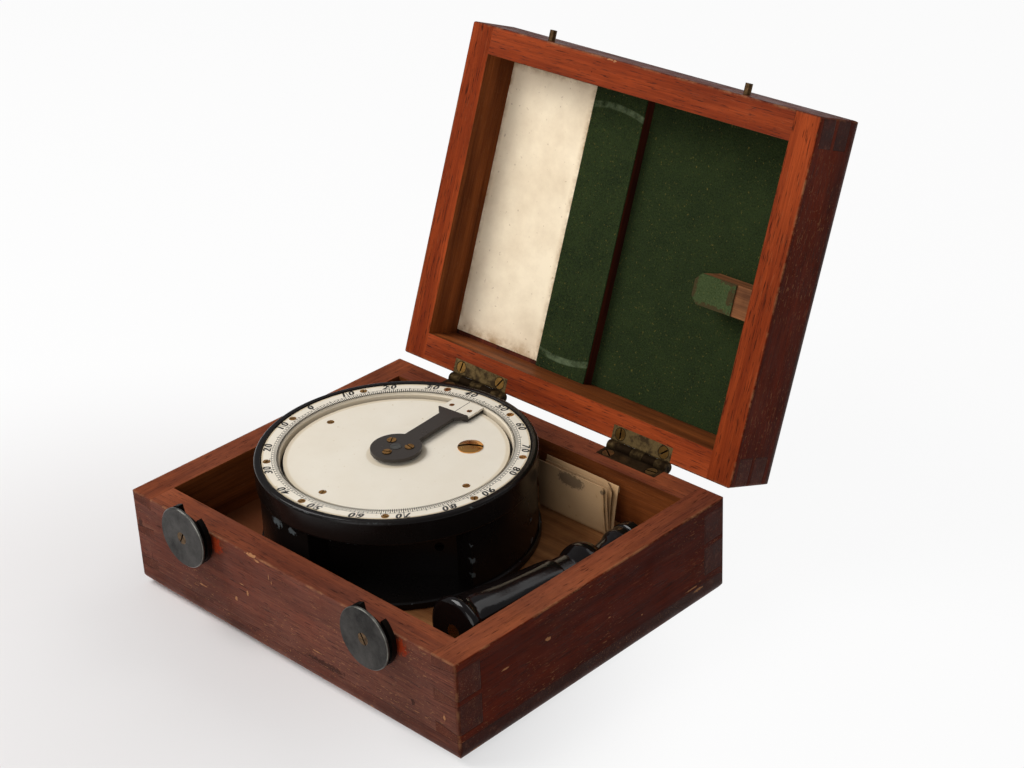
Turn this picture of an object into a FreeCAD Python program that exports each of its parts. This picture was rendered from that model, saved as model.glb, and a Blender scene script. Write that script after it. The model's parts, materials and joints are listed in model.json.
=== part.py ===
import FreeCAD, Part
import Sketcher
import math
import operator
import os

# A dovetailed hardwood box with a hinged lid, in which an angle-measuring instrument,
# its handle and a few folded papers lie. Millimetres and degrees, x to the right along
# the front, y to the back, z up, the origin in the middle of the underside.

SIZES = (
    # Boards of the box
    ("wall", 16.0, "thickness of the side boards"),
    ("bottom_board", 13.0, "thickness of the bottom board"),
    ("floor_board", 13.5, "thickness of the raised floor inside"),
    ("base_height", 58.0, "underside to the rim of the base"),
    ("lid_top_board", 7.0, "thickness of the lid's top board"),
    ("base_round", 8.0, "rounding of the lower edges"),
    ("lid_round", 6.0, "rounding of the lid's upper edges"),
    ("corner_round", 2.0, "worn corner edges"),
    ("rim_round", 0.6, "worn outer rim edges"),
    ("floor_gap", 0.3, "floor board to the walls"),
    ("rim_gap", 0.2, "shut lid to the base"),
    ("lid_open_angle", 111.0, "how far the hinges let the lid turn"),
    # Room round the instrument
    ("left_gap", 13.0, "left wall to the instrument"),
    ("front_gap", 6.8, "front wall to the instrument"),
    ("back_gap", 8.2, "back wall to the instrument"),
    ("bay_width", 50.0, "instrument to the right wall, where the handle lies"),
    ("lid_clearance", 1.7, "instrument to the lining of the shut lid"),
    # Dovetails
    ("tail_slope_share", 0.125, "how much a tail narrows per length"),
    ("base_half_pin", 4.5, "first and last pin of the base"),
    ("lid_half_pin", 3.5, "first and last pin of the lid"),
    ("pin_width", 3.0, "pin between two tails"),
    # Lid lining
    ("raised_board", 7.0, "thickness of the second board in the lid"),
    ("raised_width", 101.5, "its width from the left wall"),
    ("baize", 1.0, "thickness of the baize"),
    ("label_width", 64.5, "pasted paper, across"),
    ("label_margin", 2.5, "pasted paper to the front and back walls"),
    ("label_thickness", 0.4, "pasted paper"),
    ("block_reach", 42.5, "hold-down block from the right wall, at the ceiling"),
    ("block_lean", 4.0, "how much further its face reaches than its root"),
    ("block_height", 15.2, "hold-down block below the baize"),
    ("block_width", 17.0, "hold-down block, front to back"),
    ("block_back_gap", 67.0, "hold-down block to the back wall"),
    ("block_corner", 4.0, "its cut corners"),
    ("pad_length", 27.0, "baize pad on the block"),
    # Hinges
    ("leaf_inset", 40.8, "hinge leaf to the box's side"),
    ("leaf_length", 41.5, "hinge leaf along the back"),
    ("leaf_reach", 8.5, "hinge leaf in from the back face"),
    ("leaf_thickness", 1.5, "hinge leaf"),
    ("knuckle_radius", 2.9, "hinge knuckles"),
    ("knuckle_gap", 0.15, "between two knuckles"),
    ("knuckle_offset", 3.0, "back face to the hinge axis"),
    ("hinge_pin_radius", 1.2, "hinge pin"),
    ("run_gap", 0.05, "a shaft in its bore, all round"),
    ("leaf_screw_spacing", 30.5, "between the two screws of a leaf"),
    ("leaf_screw_inset", 4.4, "leaf screw to the back face"),
    # Wood screws
    ("wood_head_radius", 3.3, "countersunk head"),
    ("wood_head_depth", 1.4, "countersunk head"),
    ("wood_shank_radius", 1.5, "shank"),
    ("leaf_screw_length", 12.0, "hinge screw"),
    ("bottom_screw_length", 24.0, "screw through the bottom board"),
    ("bottom_screw_inset", 32.0, "bottom screw to the corner of the box"),
    ("screw_sink", 0.3, "head below the wood"),
    ("slot_width", 0.9, "screwdriver slot"),
    ("slot_depth", 0.7, "screwdriver slot"),
    # Catches
    ("catch_inset", 53.5, "catch axis to the box's side"),
    ("catch_drop", 4.3, "catch axis below the rim"),
    ("plate_radius", 10.0, "fixed plate behind the cam"),
    ("plate_thickness", 2.0, "fixed plate"),
    ("plate_gap", 0.2, "plate to the cam, and to the rim"),
    ("cam_radius", 16.6, "hook plate"),
    ("cam_thickness", 3.0, "hook plate"),
    ("cam_hub_radius", 8.0, "hub between hook plate and disc"),
    ("cam_hub_length", 1.6, "hub between hook plate and disc"),
    ("slot_orbit", 12.5, "catch axis to the middle of the curved slot"),
    ("slot_play", 0.35, "pin in the curved slot, each side"),
    ("slot_mouth_start", 106.0, "angle where the slot's mouth starts"),
    ("slot_mouth_end", 52.0, "angle where the hook's tip stands"),
    ("catch_turn", 75.0, "open to locked"),
    ("disc_radius", 16.9, "finger disc"),
    ("disc_thickness", 2.0, "finger disc"),
    ("disc_bevel", 0.6, "its edge"),
    ("catch_head_radius", 3.4, "catch screw"),
    ("catch_head_depth", 1.8, "catch screw"),
    ("catch_shank_radius", 2.0, "catch screw"),
    ("catch_screw_grip", 11.0, "catch screw in the wood"),
    ("catch_pin_radius", 2.0, "pin on the lid"),
    ("catch_pin_proud", 6.0, "pin out of the lid"),
    ("catch_pin_depth", 9.0, "pin in the lid"),
    # Instrument case
    ("drum_radius", 75.0, "foot and bezel"),
    ("foot_thickness", 4.5, "foot disc"),
    ("foot_bevel", 0.8, "its edges"),
    ("wall_inset", 1.5, "drum wall in from the foot's edge"),
    ("drum_wall_thickness", 3.5, "drum wall"),
    ("drum_wall_height", 34.0, "foot to bezel"),
    ("notch_start", -82.0, "angle where the notch for the eye starts"),
    ("notch_end", -13.6, "angle where it ends"),
    ("cheek_angle", 2.4, "cheeks beside the notch"),
    ("cheek_depth", 15.0, "cheeks in from the drum wall"),
    ("window_start", 85.0, "angle where the far window starts"),
    ("window_turn", 80.0, "width of the far window, as an angle"),
    ("window_margin", 6.0, "far window to foot and bezel"),
    ("eye_plate_thickness", 2.5, "flat plate at the back of the notch"),
    ("eye_hole_radius", 2.5, "sight hole"),
    ("eye_hole_offset", 8.9, "sight hole from the plate's end"),
    ("bezel_height", 14.5, "bezel"),
    ("bezel_wall", 3.7, "bezel"),
    ("bezel_round", 1.6, "its outer edges"),
    ("ledge_width", 5.3, "inner ledge of the bezel"),
    ("ledge_thickness", 4.0, "inner ledge of the bezel"),
    ("foot_screw_radius", 1.2, "screws through the foot"),
    ("foot_screw_length", 9.5, "screws through the foot"),
    ("foot_head_radius", 2.4, "screws through the foot"),
    ("foot_head_depth", 1.2, "screws through the foot"),
    # Dials
    ("dial_plate_thickness", 4.0, "plate under the dials"),
    ("limb_gap", 0.6, "graduated ring to the bezel"),
    ("limb_width", 9.3, "graduated ring"),
    ("limb_drop", 0.5, "graduated ring below the bezel"),
    ("limb_bevel", 1.5, "its inner edge"),
    ("limb_screw_inset", 2.7, "ring screws from the ring's outer edge"),
    ("limb_head_radius", 2.1, "ring screws"),
    ("limb_head_depth", 1.1, "ring screws"),
    ("limb_screw_radius", 0.9, "ring screws"),
    ("limb_screw_length", 7.5, "ring screws"),
    ("dial_gap", 1.7, "inner dial to the ring"),
    ("inner_dial_thickness", 3.0, "inner dial"),
    ("dial_screw_inset", 7.7, "dial screws from the dial's edge"),
    ("dial_screw_length", 5.0, "dial screws"),
    # Index arm
    ("arm_direction", 95.3, "where the index arm points"),
    ("arm_thickness", 2.0, "index arm"),
    ("arm_half_width", 5.0, "bar of the index arm"),
    ("arm_end_half_width", 10.0, "cross end of the index arm"),
    ("arm_flare", 5.2, "length over which the bar widens"),
    ("arm_web", 1.0, "step down to the cross end"),
    ("arm_end_thickness", 1.5, "cross end of the index arm"),
    ("arm_end_margin", 1.0, "vernier past the cross end"),
    ("hub_radius", 13.75, "hub of the index arm"),
    ("sweep_gap", 0.3, "arm over the dial and the large screw"),
    ("reach_gap", 0.4, "arm's step past the large screw, vernier to the ring"),
    ("hub_screw_orbit", 7.2, "hub screws from the axis"),
    ("hub_head_radius", 2.5, "hub screws"),
    ("hub_head_height", 0.5, "hub screws above the arm"),
    ("vernier_inset", 0.5, "vernier to the arm's step"),
    ("vernier_screw_inset", 5.3, "vernier screws from its inner edge"),
    ("vernier_screw_spread", 6.2, "vernier screws from its middle"),
    ("vernier_screw_radius", 1.5, "vernier screws"),
    ("pivot_radius", 3.1, "top of the spindle, in the hub"),
    ("pivot_proud", 0.3, "top of the spindle above the arm"),
    ("shoulder_radius", 11.0, "spindle's shoulder under the hub"),
    ("bush_radius", 8.0, "spindle bush"),
    ("bush_flange_radius", 12.0, "spindle bush"),
    ("bush_flange", 3.0, "spindle bush"),
    ("spindle_radius", 4.0, "spindle"),
    ("spindle_tip_radius", 3.0, "foot of the spindle"),
    ("spindle_tip_length", 3.0, "foot of the spindle"),
    # Mirrors
    ("clamp_inset", 20.7, "large screw from the dial's edge"),
    ("clamp_direction", 49.0, "large screw, angle"),
    ("clamp_head_radius", 6.8, "large screw"),
    ("clamp_dome", 1.6, "large screw"),
    ("clamp_rim", 0.6, "edge of the large screw's head"),
    ("clamp_shank_radius", 3.0, "large screw"),
    ("clamp_slot_width", 1.5, "large screw"),
    ("clamp_slot_depth", 1.2, "large screw"),
    ("mirror_width", 22.0, "both mirrors"),
    ("mirror_height", 18.0, "both mirrors"),
    ("mirror_thickness", 2.5, "both mirrors"),
    ("mirror_frame", 2.0, "frame plates and their margins"),
    ("mirror_turn", 0.9, "index mirror, angle at rest"),
    ("horizon_turn", -94.4, "horizon mirror, angle"),
    ("collar_radius", 7.0, "collars of the index mirror"),
    ("collar_height", 3.0, "collars of the index mirror"),
    ("clamp_foot_width", 14.0, "foot of the horizon mirror's frame"),
    ("clamp_foot_height", 4.0, "foot of the horizon mirror's frame"),
    ("socket_radius", 9.0, "handle socket in the foot"),
    ("socket_height", 12.5, "handle socket in the foot"),
    ("socket_depth", 8.5, "thread for the handle"),
    ("stud_radius", 4.0, "handle's thread"),
    # Handle
    ("rest_gap", 0.3, "a round piece to what it lies on"),
    ("handle_front_gap", 16.0, "front wall to the butt"),
    ("handle_back_gap", 11.0, "handle's thread to the back wall"),
    ("butt_radius", 17.7, "butt of the grip"),
    ("butt_round", 3.2, "its edge"),
    ("waist_radius", 10.6, "thinnest place of the grip"),
    ("waist_length", 77.0, "butt to the thinnest place"),
    ("bulb_radius", 13.3, "bulb of the grip"),
    ("bulb_length", 21.0, "bulb of the grip"),
    ("neck_radius", 7.0, "ferrule beside the bulb"),
    ("ferrule_length", 32.0, "bulb to the flange's face"),
    ("flange_radius", 11.7, "flange of the ferrule"),
    ("flange_edge", 5.0, "edge of the flange"),
    ("flange_face_radius", 8.0, "face of the flange"),
    ("stud_length", 8.0, "thread out of the ferrule"),
    ("stud_grip", 14.0, "thread inside the ferrule"),
    ("cap_radius", 4.2, "brass in the butt"),
    ("cap_depth", 5.0, "brass in the butt"),
    ("ferrule_screw_station", 6.0, "bulb to the ferrule screw"),
    ("ferrule_screw_radius", 1.6, "ferrule screw"),
    ("ferrule_screw_length", 5.0, "ferrule screw"),
    # Papers
    ("papers_length", 48.0, "along the back wall"),
    ("papers_height", 30.5, "upright"),
    ("papers_thickness", 11.0, "whole bundle"),
    ("papers_back_gap", 5.7, "to the back wall"),
    ("papers_side_gap", 1.3, "to the instrument"),
    ("papers_slant", 3.0, "how much the folds step back"),
    # Tools that cut
    ("overrun", 1.0, "cuts past the face they open"),
)

doc = FreeCAD.newDocument("SextantBox")
sheet = doc.addObject("Spreadsheet::Sheet", "Sizes")
layout = doc.addObject("App::VarSet", "Layout")
X_AXIS = FreeCAD.Vector(1, 0, 0)
Y_AXIS = FreeCAD.Vector(0, 1, 0)
Z_AXIS = FreeCAD.Vector(0, 0, 1)
UPRIGHT = FreeCAD.Rotation()
UPSIDE_DOWN = FreeCAD.Rotation(X_AXIS, 180)
FACING_FRONT = FreeCAD.Rotation(X_AXIS, 90)
SIDES = (("left", -1), ("right", 1))
TWO_ENDS = (-1, 1)
OPERATIONS = {"+": operator.add, "-": operator.sub, "*": operator.mul, "/": operator.truediv}


class Size:
    """A number that keeps the formula behind it, so that a property can be bound to it."""

    def __init__(self, number, formula):
        self.number = float(number)
        self.formula = formula

    def __add__(self, other):
        return worked_out(self, "+", other)

    def __radd__(self, other):
        return worked_out(other, "+", self)

    def __sub__(self, other):
        return worked_out(self, "-", other)

    def __rsub__(self, other):
        return worked_out(other, "-", self)

    def __mul__(self, other):
        return worked_out(self, "*", other)

    def __rmul__(self, other):
        return worked_out(other, "*", self)

    def __truediv__(self, other):
        return worked_out(self, "/", other)

    def __neg__(self):
        return worked_out(0, "-", self)

    def __float__(self):
        return self.number


def as_size(value):
    return value if isinstance(value, Size) else Size(value, repr(value))


def worked_out(first, sign, second):
    one = as_size(first)
    two = as_size(second)
    formula = "(" + one.formula + " " + sign + " " + two.formula + ")"
    return Size(OPERATIONS[sign](one.number, two.number), formula)


def cosine(angle):
    return Size(math.cos(math.radians(float(angle))), "cos(" + as_size(angle).formula + ")")


def sine(angle):
    return Size(math.sin(math.radians(float(angle))), "sin(" + as_size(angle).formula + ")")


def square_root(value):
    return Size(math.sqrt(float(value)), "sqrt(" + value.formula + ")")


def largest(one, two):
    formula = "max(" + as_size(one).formula + "; " + as_size(two).formula + ")"
    return Size(max(float(one), float(two)), formula)


class Names:
    """The sizes of the sheet and the places worked out from them, by name."""


d = Names()


def fill_sheet():
    """Write the driving dimensions into the sheet and read them back by their names."""
    for row, (alias, value, meaning) in enumerate(SIZES, start=1):
        sheet.set("A" + str(row), alias)
        sheet.set("B" + str(row), str(value))
        sheet.set("C" + str(row), meaning)
        sheet.setAlias("B" + str(row), alias)
    doc.recompute()
    for alias, value, meaning in SIZES:
        setattr(d, alias, Size(getattr(sheet, alias), "Sizes." + alias))


def derive(name, size):
    """Keep a worked-out length in the layout, bound to the sheet."""
    layout.addProperty("App::PropertyFloat", name)
    layout.setExpression(name, size.formula)
    setattr(d, name, Size(size.number, "Layout." + name))


def set_out():
    """Places that several pieces share."""
    inner_width = d.left_gap + 2 * d.drum_radius + d.bay_width
    derive("grip_length", d.waist_length + d.bulb_length)
    derive("handle_length", d.grip_length + d.ferrule_length + d.stud_length)
    handle_room = d.handle_front_gap + d.handle_length + d.handle_back_gap
    inner_depth = largest(d.front_gap + 2 * d.drum_radius + d.back_gap, handle_room)
    derive("inner_right", inner_width / 2)
    derive("inner_back", inner_depth / 2)
    derive("half_width", d.inner_right + d.wall)
    derive("half_depth", d.inner_back + d.wall)
    derive("floor_top", d.bottom_board + d.floor_board)
    derive("foot_top", d.floor_top + d.foot_thickness)
    derive("bezel_low", d.foot_top + d.drum_wall_height)
    derive("bezel_top", d.bezel_low + d.bezel_height)
    derive("ledge_top", d.bezel_low + d.ledge_thickness)
    derive("plate_top", d.ledge_top + d.dial_plate_thickness)
    derive("limb_top", d.bezel_top - d.limb_drop)
    derive("dial_top", d.plate_top + d.inner_dial_thickness)
    derive("bush_low", d.ledge_top - 2 * d.bush_flange)
    derive("arm_low", d.dial_top + d.clamp_dome + d.sweep_gap)
    derive("arm_top", d.arm_low + d.arm_thickness)
    derive("drum_x", -d.inner_right + d.left_gap + d.drum_radius)
    derive("drum_y", -d.inner_back + d.front_gap + d.drum_radius)
    derive("bezel_bore", d.drum_radius - d.bezel_wall)
    derive("limb_outer", d.bezel_bore - d.limb_gap)
    derive("limb_inner", d.limb_outer - d.limb_width)
    derive("inner_dial_radius", d.limb_inner - d.dial_gap)
    derive("limb_screw_orbit", d.limb_outer - d.limb_screw_inset)
    derive("dial_screw_orbit", d.inner_dial_radius - d.dial_screw_inset)
    derive("clamp_orbit", d.inner_dial_radius - d.clamp_inset)
    derive("web_start", d.clamp_orbit + d.clamp_head_radius + d.reach_gap)
    derive("vernier_inner", d.web_start + d.arm_web + d.vernier_inset)
    derive("vernier_outer", d.limb_inner - d.reach_gap)
    derive("arm_end_top", d.dial_top + d.sweep_gap + d.arm_end_thickness)
    derive("lid_rim", d.base_height + d.rim_gap)
    derive("strip_face", d.bezel_top + d.lid_clearance)
    derive("board_face", d.strip_face + d.baize)
    derive("ceiling", d.board_face + d.raised_board)
    derive("lid_top", d.ceiling + d.lid_top_board)
    derive("seam_x", -d.inner_right + d.raised_width)
    derive("hinge_y", d.half_depth + d.knuckle_offset)
    derive("hinge_z", d.base_height + d.rim_gap / 2)
    derive("catch_x", d.half_width - d.catch_inset)
    derive("catch_z", d.base_height - d.catch_drop)
    derive("cam_back", -d.half_depth - d.plate_thickness - d.plate_gap)
    derive("cam_front", d.cam_back - d.cam_thickness)
    derive("disc_back", d.cam_front - d.cam_hub_length)
    derive("disc_front", d.disc_back - d.disc_thickness)
    derive("clamp_x", d.clamp_orbit * cosine(d.clamp_direction))
    derive("clamp_y", d.clamp_orbit * sine(d.clamp_direction))


fill_sheet()
set_out()


# Ways to make a piece

def bind(item, **sizes):
    for name, size in sizes.items():
        item.setExpression(name, as_size(size).formula)


def seat(item, place, turn=None, axis=Z_AXIS):
    """Bind an object's place, and its turn about an axis, to the sizes."""
    if turn is not None:
        item.Placement = FreeCAD.Placement(FreeCAD.Vector(), FreeCAD.Rotation(axis, 1))
        item.setExpression("Placement.Rotation.Angle", as_size(turn).formula)
    for letter, size in zip("xyz", place):
        item.setExpression("Placement.Base." + letter, as_size(size).formula)
    return item


def on_drum(item, turn=None):
    return seat(item, (d.drum_x, d.drum_y, 0), turn)


def on_lid(item):
    """Turn a piece of the lid from its shut place to the open one, about the hinge axis."""
    shift_y = d.hinge_y - d.hinge_y * cosine(d.lid_open_angle) - d.hinge_z * sine(d.lid_open_angle)
    shift_z = d.hinge_z + d.hinge_y * sine(d.lid_open_angle) - d.hinge_z * cosine(d.lid_open_angle)
    return seat(item, (0, shift_y, shift_z), -d.lid_open_angle, X_AXIS)


def box(name, low, high):
    made = doc.addObject("Part::Box", name)
    for prop, one, two in zip(("Length", "Width", "Height"), low, high):
        made.setExpression(prop, (as_size(two) - one).formula)
    return seat(made, low)


def rod(name, radius, start, length, turn=None, axis=Z_AXIS):
    made = doc.addObject("Part::Cylinder", name)
    bind(made, Radius=radius, Height=length)
    return seat(made, start, turn, axis)


def sector(name, radius, start, end, low, high):
    """A slice of a disc between two angles about the z axis."""
    made = rod(name, radius, (0, 0, low), as_size(high) - low, start)
    bind(made, Angle=as_size(end) - start)
    return made


def compound(name, items):
    made = doc.addObject("Part::Compound", name)
    made.Links = list(items)
    return made


def cut(name, base, *tools):
    made = doc.addObject("Part::Cut", name)
    made.Base = base
    made.Tool = tools[0] if len(tools) == 1 else fuse(name + "_tools", *tools)
    return made


def fuse(name, *items):
    made = doc.addObject("Part::MultiFuse", name)
    made.Shapes = list(items)
    return made


def common(name, *items):
    made = doc.addObject("Part::MultiCommon", name)
    made.Shapes = list(items)
    return made


def sketch_on(body, role, points):
    """A closed outline of straight lines, each corner held by two dimensions bound to the sizes."""
    sketch = body.newObject("Sketcher::SketchObject", body.Name + "_sketch")
    plane = next(item for item in body.Origin.OriginFeatures if item.Role == role)
    sketch.AttachmentSupport = [(plane, "")]
    sketch.MapMode = "FlatFace"
    corners = [(as_size(across), as_size(up)) for across, up in points]
    count = len(corners)
    spots = [FreeCAD.Vector(float(across), float(up), 0) for across, up in corners]
    for index in range(count):
        line = Part.LineSegment(spots[index], spots[(index + 1) % count])
        sketch.addGeometry(line, False)
    for index in range(count):
        sketch.addConstraint(Sketcher.Constraint("Coincident", index, 2, (index + 1) % count, 1))
    for index, corner in enumerate(corners):
        for kind, size in zip(("DistanceX", "DistanceY"), corner):
            name = kind + str(index)
            sketch.addConstraint(Sketcher.Constraint(kind, index, 1, float(size)))
            sketch.renameConstraint(sketch.ConstraintCount - 1, name)
            sketch.setExpression("Constraints." + name, size.formula)
    return sketch


def padded(name, role, points, thickness):
    """A body whose outline is drawn on an origin plane and given a thickness."""
    body = doc.addObject("PartDesign::Body", name)
    sketch = sketch_on(body, role, points)
    pad = body.newObject("PartDesign::Pad", name + "_pad")
    pad.Profile = sketch
    bind(pad, Length=thickness)
    return body


def turned(name, points):
    """A body turned about the z axis from a profile of radii and heights."""
    body = doc.addObject("PartDesign::Body", name)
    sketch = sketch_on(body, "XZ_Plane", points)
    revolution = body.newObject("PartDesign::Revolution", name + "_turning")
    revolution.Profile = sketch
    revolution.ReferenceAxis = (sketch, ["V_Axis"])
    return body


def edges_where(shape, test):
    return ["Edge" + str(number) for number, edge in enumerate(shape.Edges, start=1) if test(edge)]


def eased(body, kind, size, test):
    """Add a fillet or chamfer to the edges of a body that pass a test."""
    doc.recompute()
    last = body.Tip
    feature = body.newObject("PartDesign::" + kind, body.Name + "_" + kind + str(len(body.Group)))
    feature.Base = (last, edges_where(last.Shape, test))
    if kind == "Fillet":
        bind(feature, Radius=size)
    else:
        bind(feature, Size=size)
    return body


def prism(name, low, high, rounds):
    """A box as a body, with rounded edges along some axes.

    Each round names the axis that its edges run along, the sides (-1, 1 or 0 for both)
    on which they lie along the other two axes, and the radius.
    """
    body = doc.addObject("PartDesign::Body", name)
    block = body.newObject("PartDesign::AdditiveBox", name + "_block")
    bind(block, Length=high[0] - low[0], Width=high[1] - low[1], Height=high[2] - low[2])
    seat(body, low)
    doc.recompute()
    middle = block.Shape.BoundBox.Center
    for axis, sides, radius in rounds:
        others = [index for index in range(3) if index != axis]

        def chosen(edge):
            start, end = (vertex.Point for vertex in edge.Vertexes)
            along = (end - start).normalize()
            offsets = [start[index] - middle[index] for index in others]
            matches = [side == 0 or side * offset > 0 for side, offset in zip(sides, offsets)]
            return abs(abs(along[axis]) - 1) < STRAIGHT and all(matches)

        def straight(edge):
            return len(edge.Vertexes) == 2 and isinstance(edge.Curve, Part.Line) and chosen(edge)

        eased(body, "Fillet", radius, straight)
    return body


STRAIGHT = 1e-6


class ScrewKind:
    """A screw with its head's face at z 0: the plain form that cuts its hole, and the slotted screw."""

    def __init__(self, name, head, depth, shank, length, slot_width, slot_depth, proud=0, dome=0):
        under = -as_size(depth)
        profile = [(0, -as_size(length)), (shank, -as_size(length)), (shank, under)]
        if float(proud) > 0:
            profile += [(head, under), (head, proud)]
        else:
            profile += [(head, 0)]
        top = as_size(proud) + dome
        if float(dome) > 0:
            profile += [(head * DOME_SHOULDER_SHARE, as_size(proud) + dome * DOME_SHOULDER_SHARE)]
        profile += [(0, top)]
        self.form = turned(name + "_form", profile)
        reach = head + d.overrun
        low = (-reach, -slot_width / 2, top - slot_depth)
        high = (reach, slot_width / 2, top + d.overrun)
        self.screw = cut(name + "_slotted", self.form, box(name + "_slot", low, high))


DOME_SHOULDER_SHARE = 0.62


def copies(name, source, places):
    """One object in several places, each a position, a facing and a turn of its own."""
    links = []
    for number, (position, facing, turn) in enumerate(places, start=1):
        link = doc.addObject("App::Link", name + "_" + str(number))
        link.LinkedObject = source
        spin = FreeCAD.Rotation(Z_AXIS, turn)
        link.Placement = FreeCAD.Placement(FreeCAD.Vector(), facing.multiply(spin))
        links.append(seat(link, position))
    return compound(name, links)


def ring_places(orbit, angles, height, facing, turns):
    """Places on a circle about the z axis."""
    places = []
    for angle, turn in zip(angles, turns):
        position = (orbit * cosine(angle), orbit * sine(angle), height)
        places.append((position, facing, turn))
    return places


finished = []


def finish(node, item):
    """Give a piece its name and put it on the list of what is written out."""
    item.Label = node
    finished.append((node, item))
    return item


# Boards of the box

def tail_outline(low, high, half_pin):
    """Front view of a board with two dovetails at each end."""
    flare = d.wall * d.tail_slope_share
    tail = (high - low - 2 * half_pin - d.pin_width) / 2
    first = low + half_pin
    second = first + tail + d.pin_width
    right = [(d.inner_right, low)]
    for start in (first, second):
        right.append((d.inner_right, start + flare))
        right.append((d.half_width, start))
        right.append((d.half_width, start + tail))
        right.append((d.inner_right, start + tail - flare))
    right.append((d.inner_right, high))
    left = [(-across, up) for across, up in reversed(right)]
    return right + left


def side_boards(part, low, high, half_pin, envelope):
    """Four dovetailed boards, shaped to the outside of the box: two with tails, two with pins."""
    tails = []
    made = {}
    for place, back_face in (("front", -d.inner_back), ("back", d.half_depth)):
        name = part + "_" + place
        board = padded(name + "_board", "XZ_Plane", tail_outline(low, high, half_pin), d.wall)
        seat(board, (0, back_face, 0))
        tails.append(board)
        made[place] = common(name + "_shaped", board, envelope)
    for side, sign in SIDES:
        name = part + "_" + side
        if sign < 0:
            near = (-d.half_width, -d.half_depth, low)
            far = (-d.inner_right, d.half_depth, high)
        else:
            near = (d.inner_right, -d.half_depth, low)
            far = (d.half_width, d.half_depth, high)
        blank = box(name + "_blank", near, far)
        made[side] = common(name + "_shaped", cut(name + "_pins", blank, *tails), envelope)
    return made


def outside(name, low, high, round_side, round_size):
    """The outside of the base or the lid, with its rounded edges."""
    corner_low = (-d.half_width, -d.half_depth, low)
    corner_high = (d.half_width, d.half_depth, high)
    along = []
    for axis in (0, 1):
        rounds = (
            (axis, (0, round_side), round_size),
            (axis, (0, -round_side), d.rim_round),
        )
        along.append(prism(name + "_along_" + "xy"[axis], corner_low, corner_high, rounds))
    corners = prism(name + "_corners", corner_low, corner_high, ((2, (0, 0), d.corner_round),))
    return common(name, along[0], along[1], corners)


def hinge_places(sign):
    """The left and right end of a hinge, along x."""
    outer = d.half_width - d.leaf_inset
    inner = outer - d.leaf_length
    return (inner, outer) if sign > 0 else (-outer, -inner)


def leaf_screw_places(height, facing, turns):
    places = []
    for side, sign in SIDES:
        start, end = hinge_places(sign)
        middle = (start + end) / 2
        for end_sign in TWO_ENDS:
            position = (
                middle + end_sign * d.leaf_screw_spacing / 2,
                d.half_depth - d.leaf_screw_inset,
                height,
            )
            places.append((position, facing, turns[len(places)]))
    return places


def leaf_seats(name, low, high):
    """Recesses for both hinge leaves in a rim."""
    seats = []
    for side, sign in SIDES:
        start, end = hinge_places(sign)
        near = (start, d.half_depth - d.leaf_reach, low)
        far = (end, d.half_depth + d.overrun, high)
        seats.append(box(name + "_" + side, near, far))
    return seats


leaf_screw = ScrewKind("leaf_screw", d.wood_head_radius, d.wood_head_depth, d.wood_shank_radius,
                       d.leaf_screw_length, d.slot_width, d.slot_depth)
bottom_screw = ScrewKind("bottom_screw", d.wood_head_radius, d.wood_head_depth, d.wood_shank_radius,
                         d.bottom_screw_length, d.slot_width, d.slot_depth)
BASE_LEAF_TURNS = (20, 65, -35, 10)
LID_LEAF_TURNS = (80, 55, 95, 40)


def base_leaf_places():
    return leaf_screw_places(d.base_height, UPRIGHT, BASE_LEAF_TURNS)


def lid_leaf_places():
    return leaf_screw_places(d.lid_rim, UPSIDE_DOWN, LID_LEAF_TURNS)


def bottom_screw_places():
    """Eight screws in a ring near the edge of the bottom board."""
    across = d.half_width - d.bottom_screw_inset
    along = d.half_depth - d.wall / 2
    side = d.half_width - d.wall / 2
    spots = [(side_sign * across, end * along) for side_sign in (-1, 0, 1) for end in TWO_ENDS]
    spots += [(side_sign * side, 0) for side_sign in TWO_ENDS]
    turns = range(15, 15 + 40 * len(spots), 40)
    return [((x, y, d.screw_sink), UPSIDE_DOWN, turn) for (x, y), turn in zip(spots, turns)]


def catch_axis(sign, y):
    return (sign * d.catch_x, y, d.catch_z)


def catch_screw_kind():
    """Head flush in the disc, shank through disc and cam into the board."""
    length = d.catch_screw_grip + d.plate_thickness + d.plate_gap + d.cam_thickness
    length = length + d.cam_hub_length + d.disc_thickness
    return ScrewKind("catch_screw", d.catch_head_radius, d.catch_head_depth, d.catch_shank_radius,
                     length, d.slot_width, d.slot_depth)


catch_screw = catch_screw_kind()


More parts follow.
